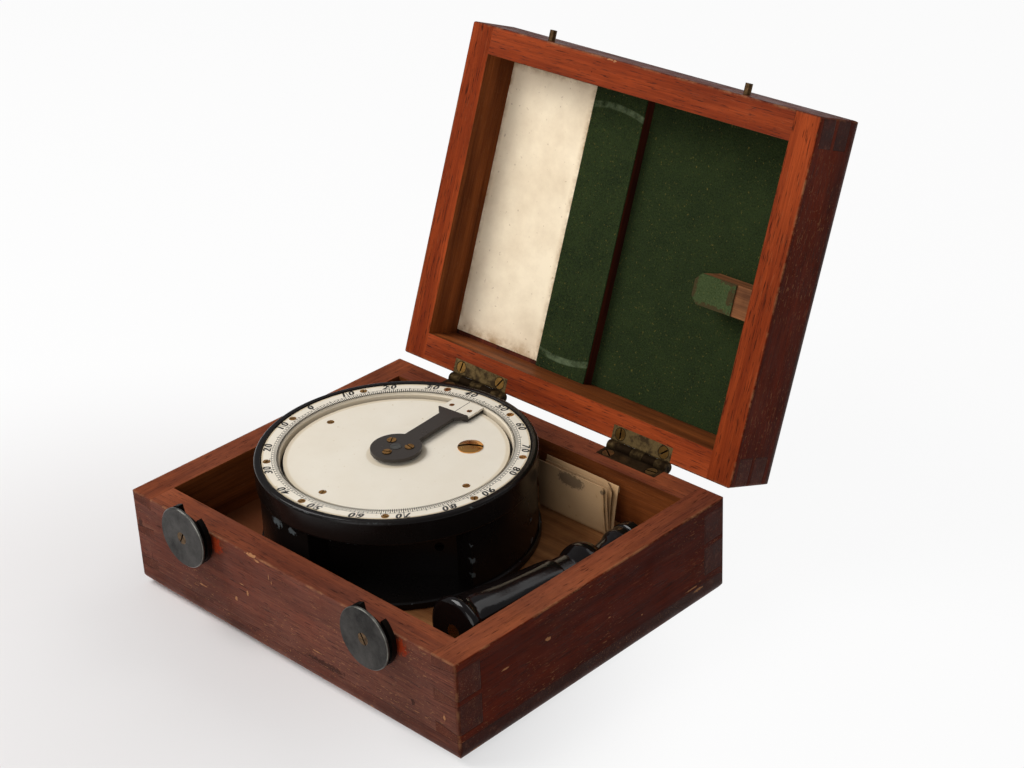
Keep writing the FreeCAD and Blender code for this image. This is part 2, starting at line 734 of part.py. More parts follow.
def make_base():
    envelope = outside("base_outside", as_size(0), d.base_height, -1, d.base_round)
    boards = side_boards("base", d.bottom_board, d.base_height, d.base_half_pin, envelope)
    bottom_bores = copies("bottom_bores", bottom_screw.form, bottom_screw_places())
    catch_places = [(catch_axis(sign, d.disc_front), FACING_FRONT, 0) for side, sign in SIDES]
    catch_bores = copies("catch_bores", catch_screw.form, catch_places)
    leaf_bores = copies("base_leaf_bores", leaf_screw.form, base_leaf_places())
    seats = leaf_seats("base_leaf_seat", d.base_height - d.leaf_thickness, d.base_height + d.overrun)
    finish("base_front", cut("base_front_cut", boards["front"], bottom_bores, catch_bores))
    finish("base_back", cut("base_back_cut", boards["back"], bottom_bores, leaf_bores, *seats))
    finish("base_left", cut("base_left_cut", boards["left"], bottom_bores))
    finish("base_right", cut("base_right_cut", boards["right"], bottom_bores))

    low = (-d.half_width, -d.half_depth, 0)
    high = (d.half_width, d.half_depth, d.bottom_board)
    shaped = common("base_bottom_shaped", box("base_bottom_blank", low, high), envelope)
    mouths = []
    for number, (position, facing, turn) in enumerate(bottom_screw_places()):
        place = (position[0], position[1], -d.overrun)
        mouth = "screw_mouth_" + str(number)
        mouths.append(rod(mouth, d.wood_head_radius, place, d.overrun + d.screw_sink))
    finish("base_bottom", cut("base_bottom_cut", shaped, bottom_bores, *mouths))

    low = (-d.inner_right + d.floor_gap, -d.inner_back + d.floor_gap, d.bottom_board)
    high = (d.inner_right - d.floor_gap, d.inner_back - d.floor_gap, d.floor_top)
    finish("inner_floor", box("inner_floor_board", low, high))
    finish("bottom_screws", copies("bottom_screw_set", bottom_screw.screw, bottom_screw_places()))
    finish("base_leaf_screws", copies("base_leaf_screw_set", leaf_screw.screw, base_leaf_places()))


def catch_pin_rods(name):
    """The two pins that stand out of the lid's front, over the catches."""
    rods = []
    for side, sign in SIDES:
        start = (sign * d.catch_x, -d.half_depth + d.catch_pin_depth, d.catch_z + d.slot_orbit)
        length = d.catch_pin_depth + d.catch_pin_proud
        rods.append(rod(name + "_" + side, d.catch_pin_radius, start, length, 90, X_AXIS))
    return rods


def make_lid():
    envelope = outside("lid_outside", d.lid_rim, d.lid_top, 1, d.lid_round)
    boards = side_boards("lid", d.lid_rim, d.ceiling, d.lid_half_pin, envelope)
    leaf_bores = copies("lid_leaf_bores", leaf_screw.form, lid_leaf_places())
    seats = leaf_seats("lid_leaf_seat", d.lid_rim - d.overrun, d.lid_rim + d.leaf_thickness)
    pin_bores = catch_pin_rods("catch_pin_bore")
    finish("lid_front", on_lid(cut("lid_front_cut", boards["front"], *pin_bores)))
    finish("lid_back", on_lid(cut("lid_back_cut", boards["back"], leaf_bores, *seats)))
    finish("lid_left", on_lid(compound("lid_left_set", [boards["left"]])))
    finish("lid_right", on_lid(compound("lid_right_set", [boards["right"]])))
    finish("catch_pins", on_lid(compound("catch_pin_set", catch_pin_rods("catch_pin"))))
    low = (-d.half_width, -d.half_depth, d.ceiling)
    high = (d.half_width, d.half_depth, d.lid_top)
    blank = box("lid_top_blank", low, high)
    finish("lid_top", on_lid(common("lid_top_shaped", blank, envelope)))
    screws = copies("lid_leaf_screw_set", leaf_screw.screw, lid_leaf_places())
    finish("lid_leaf_screws", on_lid(screws))


def lid_slab(node, low, high):
    finish(node, on_lid(compound(node + "_set", [box(node + "_slab", low, high)])))


def make_lining():
    """What is glued inside the lid, on the ceiling."""
    left = -d.inner_right
    front = -d.inner_back
    label_edge = left + d.label_width
    lid_slab("raised_board", (left, front, d.board_face), (d.seam_x, d.inner_back, d.ceiling))
    lid_slab("strip_baize", (label_edge, front, d.strip_face), (d.seam_x, d.inner_back, d.board_face))
    lid_slab("main_baize", (d.seam_x, front, d.ceiling - d.baize),
             (d.inner_right, d.inner_back, d.ceiling))
    lid_slab("paper_label", (left, front + d.label_margin, d.board_face - d.label_thickness),
             (label_edge, d.inner_back - d.label_margin, d.board_face))


def make_hold_down():
    """Block on the right wall of the lid, with cut corners and a baize pad on its face."""
    root = d.inner_right - d.block_reach
    tip = root - d.block_lean
    top = d.ceiling - d.baize
    face = top - d.block_height
    back = d.inner_back - d.block_back_gap
    profile = [(d.inner_right, top), (root, top), (tip, face), (d.inner_right, face)]
    block = seat(padded("block_body", "XZ_Plane", profile, d.block_width), (0, back, 0))
    front = back - d.block_width
    plan = [
        (tip + d.block_corner, front),
        (d.inner_right, front),
        (d.inner_right, back),
        (tip + d.block_corner, back),
        (tip, back - d.block_corner),
        (tip, front + d.block_corner),
    ]
    plan_prism = seat(padded("block_plan", "XY_Plane", plan, d.block_height), (0, 0, face))
    finish("hold_down_block", on_lid(common("block_shaped", block, plan_prism)))
    pad_plan = [
        (tip + d.block_corner, front),
        (tip + d.pad_length, front),
        (tip + d.pad_length, back),
        (tip + d.block_corner, back),
        (tip, back - d.block_corner),
        (tip, front + d.block_corner),
    ]
    pad = seat(padded("pad_body", "XY_Plane", pad_plan, d.baize), (0, 0, face - d.baize))
    finish("hold_down_pad", on_lid(compound("pad_set", [pad])))


# Hinges

def knuckle_spans(sign):
    """Start and end of each of the five knuckles of a hinge."""
    start, end = hinge_places(sign)
    length = (d.leaf_length - 4 * d.knuckle_gap) / 5
    pitch = length + d.knuckle_gap
    return [(start + number * pitch, start + number * pitch + length) for number in range(5)]


def leaf(name, sign, low, high, numbers, screw_bores):
    """A hinge leaf: a plate, its knuckles, and the webs that join them."""
    start, end = hinge_places(sign)
    spans = knuckle_spans(sign)
    pieces = [box(name + "_plate", (start, d.half_depth - d.leaf_reach, low), (end, d.half_depth, high))]
    for number in numbers:
        near, far = spans[number]
        label = name + "_knuckle_" + str(number)
        axis_start = (near, d.hinge_y, d.hinge_z)
        pieces.append(rod(label, d.knuckle_radius, axis_start, far - near, 90, Y_AXIS))
        pieces.append(box(label + "_web", (near, d.half_depth, low), (far, d.hinge_y, high)))
    bore_start = (start - d.overrun, d.hinge_y, d.hinge_z)
    bore = rod(name + "_bore", d.hinge_pin_radius + d.run_gap, bore_start,
               d.leaf_length + 2 * d.overrun, 90, Y_AXIS)
    return cut(name, fuse(name + "_whole", *pieces), bore, screw_bores)


def make_hinges():
    base_bores = copies("base_leaf_countersinks", leaf_screw.form, base_leaf_places())
    lid_bores = copies("lid_leaf_countersinks", leaf_screw.form, lid_leaf_places())
    base_leaves = []
    lid_leaves = []
    pins = []
    for side, sign in SIDES:
        low = d.base_height - d.leaf_thickness
        base_leaves.append(leaf(side + "_base_leaf", sign, low, d.base_height, (1, 3), base_bores))
        high = d.lid_rim + d.leaf_thickness
        lid_leaves.append(leaf(side + "_lid_leaf", sign, d.lid_rim, high, (0, 2, 4), lid_bores))
        start, end = hinge_places(sign)
        pin_start = (start, d.hinge_y, d.hinge_z)
        pins.append(rod(side + "_pin", d.hinge_pin_radius, pin_start, d.leaf_length, 90, Y_AXIS))
    finish("base_hinge_leaves", compound("base_leaf_pair", base_leaves))
    finish("lid_hinge_leaves", on_lid(compound("lid_leaf_pair", lid_leaves)))
    finish("hinge_pins", compound("hinge_pin_pair", pins))


# Catches, each drawn flat with its axis on z and its front up, then stood on the board

def cam_shape(name):
    """Hook plate with its hub: a disc with a curved slot whose mouth is on top when open."""
    slot_half = d.catch_pin_radius + d.slot_play
    inner = d.slot_orbit - slot_half
    outer = d.slot_orbit + slot_half
    low = -d.overrun
    high = d.cam_thickness + d.overrun
    end_angle = 90 - d.catch_turn
    mouth = sector(name + "_mouth", d.cam_radius + d.overrun, d.slot_mouth_end,
                   d.slot_mouth_start, low, high)
    channel = sector(name + "_channel", outer, end_angle, d.slot_mouth_end, low, high)
    core = rod(name + "_core", inner, (0, 0, low), high - low)
    end_place = (d.slot_orbit * cosine(end_angle), d.slot_orbit * sine(end_angle), low)
    round_end = rod(name + "_end", slot_half, end_place, high - low)
    slot = cut(name + "_slot", fuse(name + "_open", mouth, channel, round_end), core)
    plate = cut(name + "_plate", rod(name + "_blank", d.cam_radius, (0, 0, 0), d.cam_thickness), slot)
    hub = rod(name + "_hub", d.cam_hub_radius, (0, 0, 0), d.cam_thickness + d.cam_hub_length)
    bore = rod(name + "_bore", d.catch_shank_radius + d.run_gap, (0, 0, low),
               high + d.cam_hub_length + d.overrun)
    return cut(name, fuse(name + "_whole", plate, hub), bore)


def disc_shape(name):
    """Finger disc with a bevelled edge and a countersunk middle."""
    head = d.catch_head_radius + d.run_gap
    shank = d.catch_shank_radius + d.run_gap
    profile = [
        (shank, 0),
        (d.disc_radius - d.disc_bevel, 0),
        (d.disc_radius, d.disc_bevel),
        (d.disc_radius, d.disc_thickness - d.disc_bevel),
        (d.disc_radius - d.disc_bevel, d.disc_thickness),
        (head, d.disc_thickness),
        (shank, d.disc_thickness - d.catch_head_depth),
    ]
    return turned(name, profile)


def plate_shape(name):
    """Fixed plate under the cam, flat at the top so that it stays below the rim."""
    disc = rod(name + "_disc", d.plate_radius, (0, 0, 0), d.plate_thickness)
    flat = d.catch_drop - d.plate_gap
    reach = d.plate_radius + d.overrun
    top = box(name + "_top", (-reach, flat, -d.overrun), (reach, reach, d.plate_thickness + d.overrun))
    bore = rod(name + "_bore", d.catch_shank_radius, (0, 0, -d.overrun), d.plate_thickness + 2 * d.overrun)
    return cut(name, disc, top, bore)


def make_catches():
    plates = []
    screw_places = []
    for side, sign in SIDES:
        plate = plate_shape(side + "_catch_plate")
        plates.append(seat(plate, catch_axis(sign, -d.half_depth), 90, X_AXIS))
        cam = cam_shape(side + "_cam_flat")
        finish(side + "_catch_cam", seat(cam, catch_axis(sign, d.cam_back), 90, X_AXIS))
        disc = disc_shape(side + "_disc_flat")
        finish(side + "_catch_disc", seat(disc, catch_axis(sign, d.disc_back), 90, X_AXIS))
        screw_places.append((catch_axis(sign, d.disc_front), FACING_FRONT, CATCH_SCREW_TURNS[side]))
    finish("catch_plates", compound("catch_plate_pair", plates))
    finish("catch_screws", copies("catch_screw_set", catch_screw.screw, screw_places))


CATCH_SCREW_TURNS = {"left": 62, "right": 118}


# Instrument case, drawn about the z axis at its true height, then moved to its place

foot_screw = ScrewKind("foot_screw", d.foot_head_radius, d.foot_head_depth, d.foot_screw_radius,
                       d.foot_screw_length, d.slot_width, d.slot_depth)
limb_screw = ScrewKind("limb_screw", d.limb_head_radius, d.limb_head_depth, d.limb_screw_radius,
                       d.limb_screw_length, d.slot_width / 2, d.slot_depth / 2)
dial_screw = ScrewKind("dial_screw", d.limb_head_radius, d.limb_head_depth, d.limb_screw_radius,
                       d.dial_screw_length, d.slot_width / 2, d.slot_depth / 2)
clamp_length = d.inner_dial_thickness + d.dial_plate_thickness + d.clamp_foot_height
clamp_screw = ScrewKind("clamp_screw", d.clamp_head_radius, as_size(0), d.clamp_shank_radius,
                        clamp_length, d.clamp_slot_width, d.clamp_slot_depth,
                        proud=d.clamp_rim, dome=d.clamp_dome - d.clamp_rim)
FOOT_SCREW_ANGLES = (0, 45, 90, 135, 180, 225)
LIMB_SCREW_ANGLES = tuple(range(-168, 192, 40))
DIAL_SCREW_ANGLES = (180, 270, 0, 90)
HUB_SCREW_ANGLES = (60, 180, 300)
SCREW_TURNS = (30, 110, 75, 10, 140, 55, 95, 20, 125)
CLAMP_SCREW_TURN = 38


def foot_screw_places():
    orbit = d.drum_radius - d.wall_inset - d.drum_wall_thickness / 2
    return ring_places(orbit, FOOT_SCREW_ANGLES, d.floor_top, UPSIDE_DOWN, SCREW_TURNS)


def limb_screw_places():
    return ring_places(d.limb_screw_orbit, LIMB_SCREW_ANGLES, d.limb_top, UPRIGHT, SCREW_TURNS)


def dial_screw_places():
    return ring_places(d.dial_screw_orbit, DIAL_SCREW_ANGLES, d.dial_top, UPRIGHT, SCREW_TURNS)


def clamp_place():
    return [((d.clamp_x, d.clamp_y, d.dial_top), UPRIGHT, CLAMP_SCREW_TURN)]


def make_foot():
    socket_top = d.floor_top + d.socket_height
    foot = turned("foot_body", [
        (d.socket_radius, d.floor_top),
        (d.drum_radius - d.foot_bevel, d.floor_top),
        (d.drum_radius, d.floor_top + d.foot_bevel),
        (d.drum_radius, d.foot_top - d.foot_bevel),
        (d.drum_radius - d.foot_bevel, d.foot_top),
        (d.socket_radius, d.foot_top),
    ])
    bores = copies("foot_bores", foot_screw.form, foot_screw_places())
    finish("foot_disc", on_drum(cut("foot_cut", foot, bores)))
    tip = d.spindle_tip_radius + d.run_gap
    socket = turned("socket_body", [
        (d.stud_radius, d.floor_top),
        (d.socket_radius, d.floor_top),
        (d.socket_radius, socket_top),
        (tip, socket_top),
        (tip, socket_top - d.spindle_tip_length),
        (0, socket_top - d.spindle_tip_length),
        (0, d.floor_top + d.socket_depth),
        (d.stud_radius, d.floor_top + d.socket_depth),
    ])
    finish("handle_socket", on_drum(socket))
    finish("foot_screws", on_drum(copies("foot_screw_set", foot_screw.screw, foot_screw_places())))


def make_drum_wall():
    """Wall with a notch for the eye between two radial cheeks, and a window on the far side."""
    outer = d.drum_radius - d.wall_inset
    inner = outer - d.drum_wall_thickness
    cheek_end = outer - d.cheek_depth
    ring = turned("drum_ring", [
        (inner, d.foot_top),
        (outer, d.foot_top),
        (outer, d.bezel_low),
        (inner, d.bezel_low),
    ])
    notch = sector("notch", outer + d.overrun, d.notch_start, d.notch_end,
                   d.foot_top - d.overrun, d.bezel_low + d.overrun)
    window = sector("window", outer + d.overrun, d.window_start, d.window_start + d.window_turn,
                    d.foot_top + d.window_margin, d.bezel_low - d.window_margin)
    cheeks = [
        sector("left_cheek_sector", outer, d.notch_start - d.cheek_angle, d.notch_start,
               d.foot_top, d.bezel_low),
        sector("right_cheek_sector", outer, d.notch_end, d.notch_end + d.cheek_angle,
               d.foot_top, d.bezel_low),
    ]
    middle = rod("cheek_middle", cheek_end, (0, 0, d.foot_top), d.drum_wall_height)
    both_cheeks = cut("both_cheeks", compound("cheek_pair", cheeks), middle)
    wall = fuse("drum_wall_whole", cut("drum_ring_open", ring, notch, window), both_cheeks)
    bores = copies("wall_bores", foot_screw.form, foot_screw_places())
    finish("drum_wall", on_drum(cut("drum_wall_cut", wall, bores)))


def make_eye_plate():
    """Flat plate between the inner ends of the cheeks, with the sight hole."""
    half_angle = (d.notch_end - d.notch_start) / 2
    cheek_end = d.drum_radius - d.wall_inset - d.cheek_depth
    face = cheek_end * cosine(half_angle)
    half = cheek_end * sine(half_angle)
    back = face - d.eye_plate_thickness
    plate = box("eye_plate_blank", (back, -half, d.foot_top), (face, half, d.bezel_low))
    middle = (d.foot_top + d.bezel_low) / 2
    hole = rod("eye_hole", d.eye_hole_radius, (back - d.overrun, half - d.eye_hole_offset, middle),
               d.eye_plate_thickness + 2 * d.overrun, 90, Y_AXIS)
    finish("eye_plate", on_drum(cut("eye_plate_cut", plate, hole), d.notch_start + half_angle))


def make_bezel():
    ledge = d.bezel_bore - d.ledge_width
    bezel = turned("bezel_body", [
        (ledge, d.bezel_low),
        (d.drum_radius, d.bezel_low),
        (d.drum_radius, d.bezel_top),
        (d.bezel_bore, d.bezel_top),
        (d.bezel_bore, d.ledge_top),
        (ledge, d.ledge_top),
    ])

    def outer_edge(edge):
        return is_circle(edge) and abs(edge.Curve.Radius - float(d.drum_radius)) < STRAIGHT

    def inner_top_edge(edge):
        at_top = is_circle(edge) and abs(edge.Curve.Center.z - float(d.bezel_top)) < STRAIGHT
        return at_top and abs(edge.Curve.Radius - float(d.bezel_bore)) < STRAIGHT

    eased(bezel, "Fillet", d.bezel_round, outer_edge)
    eased(bezel, "Fillet", d.bezel_round / 3, inner_top_edge)
    finish("bezel", on_drum(bezel))


def is_circle(edge):
    return isinstance(edge.Curve, Part.Circle)


def make_dials():
    limb_bores = copies("limb_bores", limb_screw.form, limb_screw_places())
    dial_bores = copies("dial_bores", dial_screw.form, dial_screw_places())
    clamp_bore = copies("clamp_bore", clamp_screw.form, clamp_place())
    plate = turned("dial_plate_body", [
        (d.bush_radius, d.ledge_top),
        (d.bezel_bore - d.run_gap, d.ledge_top),
        (d.bezel_bore - d.run_gap, d.plate_top),
        (d.bush_radius, d.plate_top),
    ])
    finish("dial_plate", on_drum(cut("dial_plate_cut", plate, limb_bores, dial_bores, clamp_bore)))
    limb = turned("limb_body", [
        (d.limb_inner, d.plate_top),
        (d.limb_outer, d.plate_top),
        (d.limb_outer, d.limb_top),
        (d.limb_inner + d.limb_bevel, d.limb_top),
        (d.limb_inner, d.limb_top - d.limb_bevel),
    ])
    finish("limb_ring", on_drum(cut("limb_cut", limb, limb_bores)))
    dial = turned("inner_dial_body", [
        (d.bush_radius + d.run_gap, d.plate_top),
        (d.inner_dial_radius, d.plate_top),
        (d.inner_dial_radius, d.dial_top),
        (d.bush_radius + d.run_gap, d.dial_top),
    ])
    finish("inner_dial", on_drum(cut("inner_dial_cut", dial, dial_bores, clamp_bore)))
    finish("limb_screws", on_drum(copies("limb_screw_set", limb_screw.screw, limb_screw_places())))
    finish("dial_screws", on_drum(copies("dial_screw_set", dial_screw.screw, dial_screw_places())))
    finish("mirror_clamp_screw", on_drum(copies("clamp_screw_set", clamp_screw.screw, clamp_place())))


# Index arm and what turns with it, drawn along x, then turned to its direction

hub_screw = ScrewKind("hub_screw", d.hub_head_radius, as_size(0), d.limb_screw_radius,
                      d.arm_thickness, d.slot_width * 0.7, d.slot_depth * 0.7,
                      proud=d.hub_head_height)
vernier_screw_length = d.limb_top - d.arm_end_top + d.arm_end_thickness
vernier_screw = ScrewKind("vernier_screw", d.vernier_screw_radius, d.limb_head_depth / 2,
                          d.limb_screw_radius, vernier_screw_length,
                          d.slot_width / 2, d.slot_depth / 3)


def on_arm(item):
    return on_drum(item, d.arm_direction)


def hub_screw_places():
    return ring_places(d.hub_screw_orbit, HUB_SCREW_ANGLES, d.arm_top, UPRIGHT, SCREW_TURNS)


def vernier_screw_places():
    across = d.vernier_inner + d.vernier_screw_inset
    places = []
    for sign, turn in zip(TWO_ENDS, SCREW_TURNS):
        places.append(((across, sign * d.vernier_screw_spread, d.limb_top), UPRIGHT, turn))
    return places


def make_index_arm():
    """Hub, bar that widens at its end, and a cross end one step lower under the vernier."""
    half = d.arm_half_width
    end_half = d.arm_end_half_width
    web_end = d.web_start + d.arm_web
    flare_end = web_end - d.arm_web
    bar = padded("arm_bar", "XY_Plane", [
        (0, -half),
        (flare_end - d.arm_flare, -half),
        (flare_end, -end_half),
        (web_end, -end_half),
        (web_end, end_half),
        (flare_end, end_half),
        (flare_end - d.arm_flare, half),
        (0, half),
    ], d.arm_thickness)
    seat(bar, (0, 0, d.arm_low))
    hub = rod("arm_hub", d.hub_radius, (0, 0, d.arm_low), d.arm_thickness)
    end_low = d.dial_top + d.sweep_gap
    web = box("arm_web_box", (d.web_start, -end_half, end_low), (web_end, end_half, d.arm_top))
    end_reach = d.vernier_outer - d.arm_end_margin
    end = box("arm_end", (d.web_start, -end_half, end_low), (end_reach, end_half, d.arm_end_top))
    whole = fuse("arm_whole", bar, hub, web, end)
    hub_bores = copies("hub_bores", hub_screw.form, hub_screw_places())
    vernier_bores = copies("arm_end_bores", vernier_screw.form, vernier_screw_places())
    pivot = rod("arm_pivot", d.pivot_radius, (0, 0, d.arm_low - d.overrun),
                d.arm_thickness + 2 * d.overrun)
    finish("index_arm", on_arm(cut("arm_cut", whole, hub_bores, vernier_bores, pivot)))
    finish("hub_screws", on_arm(copies("hub_screw_set", hub_screw.screw, hub_screw_places())))


def make_vernier():
    """Small graduated plate in the arm's end: its outer edge is an arc beside the ring."""
    half = d.arm_end_half_width
    blank = box("vernier_blank", (d.vernier_inner, -half, d.arm_end_top), (d.vernier_outer, half, d.limb_top))
    reach = rod("vernier_reach", d.vernier_outer, (0, 0, d.arm_end_top), d.limb_top - d.arm_end_top)
    bores = copies("vernier_bores", vernier_screw.form, vernier_screw_places())
    plate = cut("vernier_cut", common("vernier_shaped", blank, reach), bores)
    finish("vernier_plate", on_arm(plate))
    screws = copies("vernier_screw_set", vernier_screw.screw, vernier_screw_places())
    finish("vernier_screws", on_arm(screws))


def make_spindle():
    bush_bore = d.spindle_radius + d.run_gap
    bush_top = d.dial_top + d.sweep_gap / 2
    bush = turned("bush_body", [
        (bush_bore, d.bush_low),
        (d.bush_radius, d.bush_low),
        (d.bush_radius, d.ledge_top - d.bush_flange),
        (d.bush_flange_radius, d.ledge_top - d.bush_flange),
        (d.bush_flange_radius, d.ledge_top),
        (d.bush_radius, d.ledge_top),
        (d.bush_radius, bush_top),
        (bush_bore, bush_top),
    ])
    finish("spindle_bush", on_drum(bush))
    tip_low = d.floor_top + d.socket_height - d.spindle_tip_length + d.run_gap
    shoulder_low = d.dial_top + d.sweep_gap
    tip_top = d.floor_top + d.socket_height + d.sweep_gap
    spindle = turned("spindle_body", [
        (0, tip_low),
        (d.spindle_tip_radius, tip_low),
        (d.spindle_tip_radius, tip_top),
        (d.spindle_radius, tip_top),
        (d.spindle_radius, shoulder_low),
        (d.shoulder_radius, shoulder_low),
        (d.shoulder_radius, d.arm_low),
        (d.pivot_radius, d.arm_low),
        (d.pivot_radius, d.arm_top + d.pivot_proud),
        (0, d.arm_top + d.pivot_proud),
    ])
    finish("index_spindle", on_arm(spindle))


def make_index_mirror():
    """Two collars on the spindle carry a plate, and the mirror is held on its face."""
    middle = (d.floor_top + d.socket_height + d.bush_low) / 2
    half_width = d.mirror_width / 2
    half_height = d.mirror_height / 2
    margin = d.mirror_frame
    back = d.spindle_radius
    face = back + d.mirror_frame
    near = (back, -half_width - margin, middle - half_height - margin)
    far = (face, half_width + margin, middle + half_height + margin)
    pieces = [box("index_frame_plate", near, far)]
    for name, low in (
        ("lower_collar", middle - half_height - margin),
        ("upper_collar", middle + half_height + margin - d.collar_height),
    ):
        pieces.append(rod(name, d.collar_radius, (0, 0, low), d.collar_height))
    whole = fuse("index_frame_whole", *pieces)
    bore = rod("index_frame_bore", d.spindle_radius, (0, 0, d.foot_top), d.drum_wall_height)
    lap = box("index_frame_lap", (face, -d.mirror_width, d.foot_top), (face + d.mirror_width, d.mirror_width, d.bezel_low))
    finish("index_mirror_frame", on_drum(cut("index_frame_cut", whole, bore, lap), d.mirror_turn))
    glass = box("index_glass", (face, -half_width, middle - half_height),
                (face + d.mirror_thickness, half_width, middle + half_height))
    finish("index_mirror", on_drum(compound("index_mirror_set", [glass]), d.mirror_turn))


def make_horizon_mirror():
    """Frame held under the dial plate by the large screw, with the second mirror on its face."""
    top = d.ledge_top
    foot_low = top - d.clamp_foot_height
    half_width = d.mirror_width / 2
    half_foot = d.clamp_foot_width / 2
    margin = d.mirror_frame
    plate_low = foot_low - d.mirror_height - 2 * margin
    foot = box("horizon_foot", (-half_foot, -half_foot, foot_low), (half_foot, half_foot, top))
    plate = box("horizon_plate", (0, -half_width - margin, plate_low),
                (margin, half_width + margin, foot_low))
    bore = rod("horizon_bore", d.clamp_shank_radius, (0, 0, foot_low - d.overrun),
               d.clamp_foot_height + 2 * d.overrun)
    place = (d.drum_x + d.clamp_x, d.drum_y + d.clamp_y, 0)
    frame = cut("horizon_frame_cut", fuse("horizon_frame_whole", foot, plate), bore)
    finish("horizon_mirror_frame", seat(frame, place, d.horizon_turn))
    glass = box("horizon_glass", (margin, -half_width, plate_low + margin),
                (margin + d.mirror_thickness, half_width, foot_low - margin))
    mirror = seat(compound("horizon_mirror_set", [glass]), place, d.horizon_turn)
    finish("horizon_mirror", mirror)


# Handle, turned about z from its butt, then laid in the corner of floor and right wall

TAPER_STATION_SHARES = (0.08, 0.16, 0.4, 0.65, 0.88)
TAPER_RADIUS_SHARES = (0.925, 0.87, 0.795, 0.73, 0.645)
BULB_STATION_SHARES = (0.2, 0.45, 0.75)
BULB_RADIUS_SHARES = (0.88, 1.0, 0.93)
NECK_STATION_SHARES = (0.25, 0.5, 0.72)
NECK_RADIUS_SHARES = (0.15, 0.45, 0.85)
ALONG = FreeCAD.Vector(0, 0, 1)
CLOSING = FreeCAD.Vector(-1, 0, 0.35)
OPENING = FreeCAD.Vector(1, 0, 0.8)


def turned_shape(points, curved):
    """A solid turned about z. A curved stretch names the points between its ends: one makes
    an arc, several a smooth curve that starts along the axis and ends in the direction given.
    """
    spots = [spot(radius, station) for radius, station in points]
    edges = []
    for start, end, (between, leaving) in zip(spots, spots[1:], curved):
        inner = [spot(radius, station) for radius, station in between]
        if len(inner) == 1:
            edges.append(Part.Arc(start, inner[0], end).toShape())
        elif inner:
            curve = Part.BSplineCurve()
            curve.interpolate([start] + inner + [end], InitialTangent=ALONG, FinalTangent=leaving)
            edges.append(curve.toShape())
        else:
            edges.append(Part.LineSegment(start, end).toShape())
    edges.append(Part.LineSegment(spots[-1], spots[0]).toShape())
    face = Part.Face(Part.Wire(edges))
    return face.revolve(FreeCAD.Vector(), Z_AXIS, 360)


def spot(radius, station):
    return FreeCAD.Vector(float(radius), 0, float(station))


STRAIGHT_RUN = ([], None)


def handle_placement():
    """Both rims lie a rest gap from the floor and from the right wall."""
    grip = d.grip_length
    butt_station = d.butt_round
    flange_station = grip + d.ferrule_length - d.flange_edge
    span = float(flange_station - butt_station)
    drop = float(d.butt_radius - d.flange_radius)
    along = FreeCAD.Vector(drop, math.sqrt(span ** 2 - 2 * drop ** 2), -drop).normalize()
    rim_middle = FreeCAD.Vector(
        float(d.inner_right - d.rest_gap - d.butt_radius),
        float(-d.inner_back + d.handle_front_gap + d.butt_round),
        float(d.floor_top + d.rest_gap + d.butt_radius),
    )
    base = rim_middle - along * float(butt_station)
    return FreeCAD.Placement(base, FreeCAD.Rotation(Z_AXIS, along))


def handle_piece(node, shape):
    piece = doc.addObject("Part::Feature", node)
    piece.Shape = shape
    piece.Placement = handle_placement()
    finish(node, piece)


def make_handle():
    grip = d.grip_length
    total = grip + d.ferrule_length
    stud_start = total - d.stud_grip
    taper = [(d.butt_radius * radius, d.waist_length * station) for radius, station in
             zip(TAPER_RADIUS_SHARES, TAPER_STATION_SHARES)]
    bulb = [(d.bulb_radius * radius, d.waist_length + d.bulb_length * station)
            for radius, station in zip(BULB_RADIUS_SHARES, BULB_STATION_SHARES)]
    face_radius = d.butt_radius - d.butt_round
    corner_share = math.sqrt(0.5)
    rim = [(face_radius + d.butt_round * corner_share, d.butt_round * (1 - corner_share))]
    points = [
        (d.cap_radius, as_size(0)),
        (face_radius, as_size(0)),
        (d.butt_radius, d.butt_round),
        (d.waist_radius, d.waist_length),
        (d.neck_radius, grip),
        (as_size(0), grip),
        (as_size(0), d.cap_depth),
        (d.cap_radius, d.cap_depth),
    ]
    handle_piece("handle_grip", turned_shape(points, (
        STRAIGHT_RUN,
        (rim, None),
        (taper, ALONG),
        (bulb, CLOSING),
        STRAIGHT_RUN,
        STRAIGHT_RUN,
        STRAIGHT_RUN,
    )))

    rise = d.flange_radius - d.neck_radius
    flare_length = d.ferrule_length - 2 * d.flange_edge
    neck = [(d.neck_radius + rise * radius, grip + flare_length * station)
            for radius, station in zip(NECK_RADIUS_SHARES, NECK_STATION_SHARES)]
    points = [
        (as_size(0), grip),
        (d.neck_radius, grip),
        (d.flange_radius, grip + flare_length),
        (d.flange_radius, total - d.flange_edge),
        (d.flange_face_radius, total),
        (d.stud_radius, total),
        (d.stud_radius, stud_start),
        (as_size(0), stud_start),
    ]
    shape = turned_shape(points, (
        STRAIGHT_RUN,
        (neck, OPENING),
        STRAIGHT_RUN,
        STRAIGHT_RUN,
        STRAIGHT_RUN,
        STRAIGHT_RUN,
        STRAIGHT_RUN,
    ))
    radius = float(d.ferrule_screw_radius)
    length = float(d.ferrule_screw_length)
    station = float(grip + d.ferrule_screw_station)
    outside_radius = float(d.neck_radius + rise * NECK_RADIUS_SHARES[0])
    start = FreeCAD.Vector(-(outside_radius + radius / 2 - length), 0, station)
    shank = Part.makeCylinder(radius, length, start, -X_AXIS)
    head = Part.makeSphere(radius, start - X_AXIS * length)
    handle_piece("handle_ferrule", shape.cut(shank))
    handle_piece("ferrule_screw", shank.fuse(head).removeSplitter())

    stud_length = float(d.stud_grip + d.stud_length)
    stud = Part.makeCylinder(float(d.stud_radius), stud_length, FreeCAD.Vector(0, 0, float(stud_start)))
    handle_piece("handle_stud", stud)
    cap = Part.makeCylinder(float(d.cap_radius), float(d.cap_depth))
    handle_piece("butt_cap", cap)


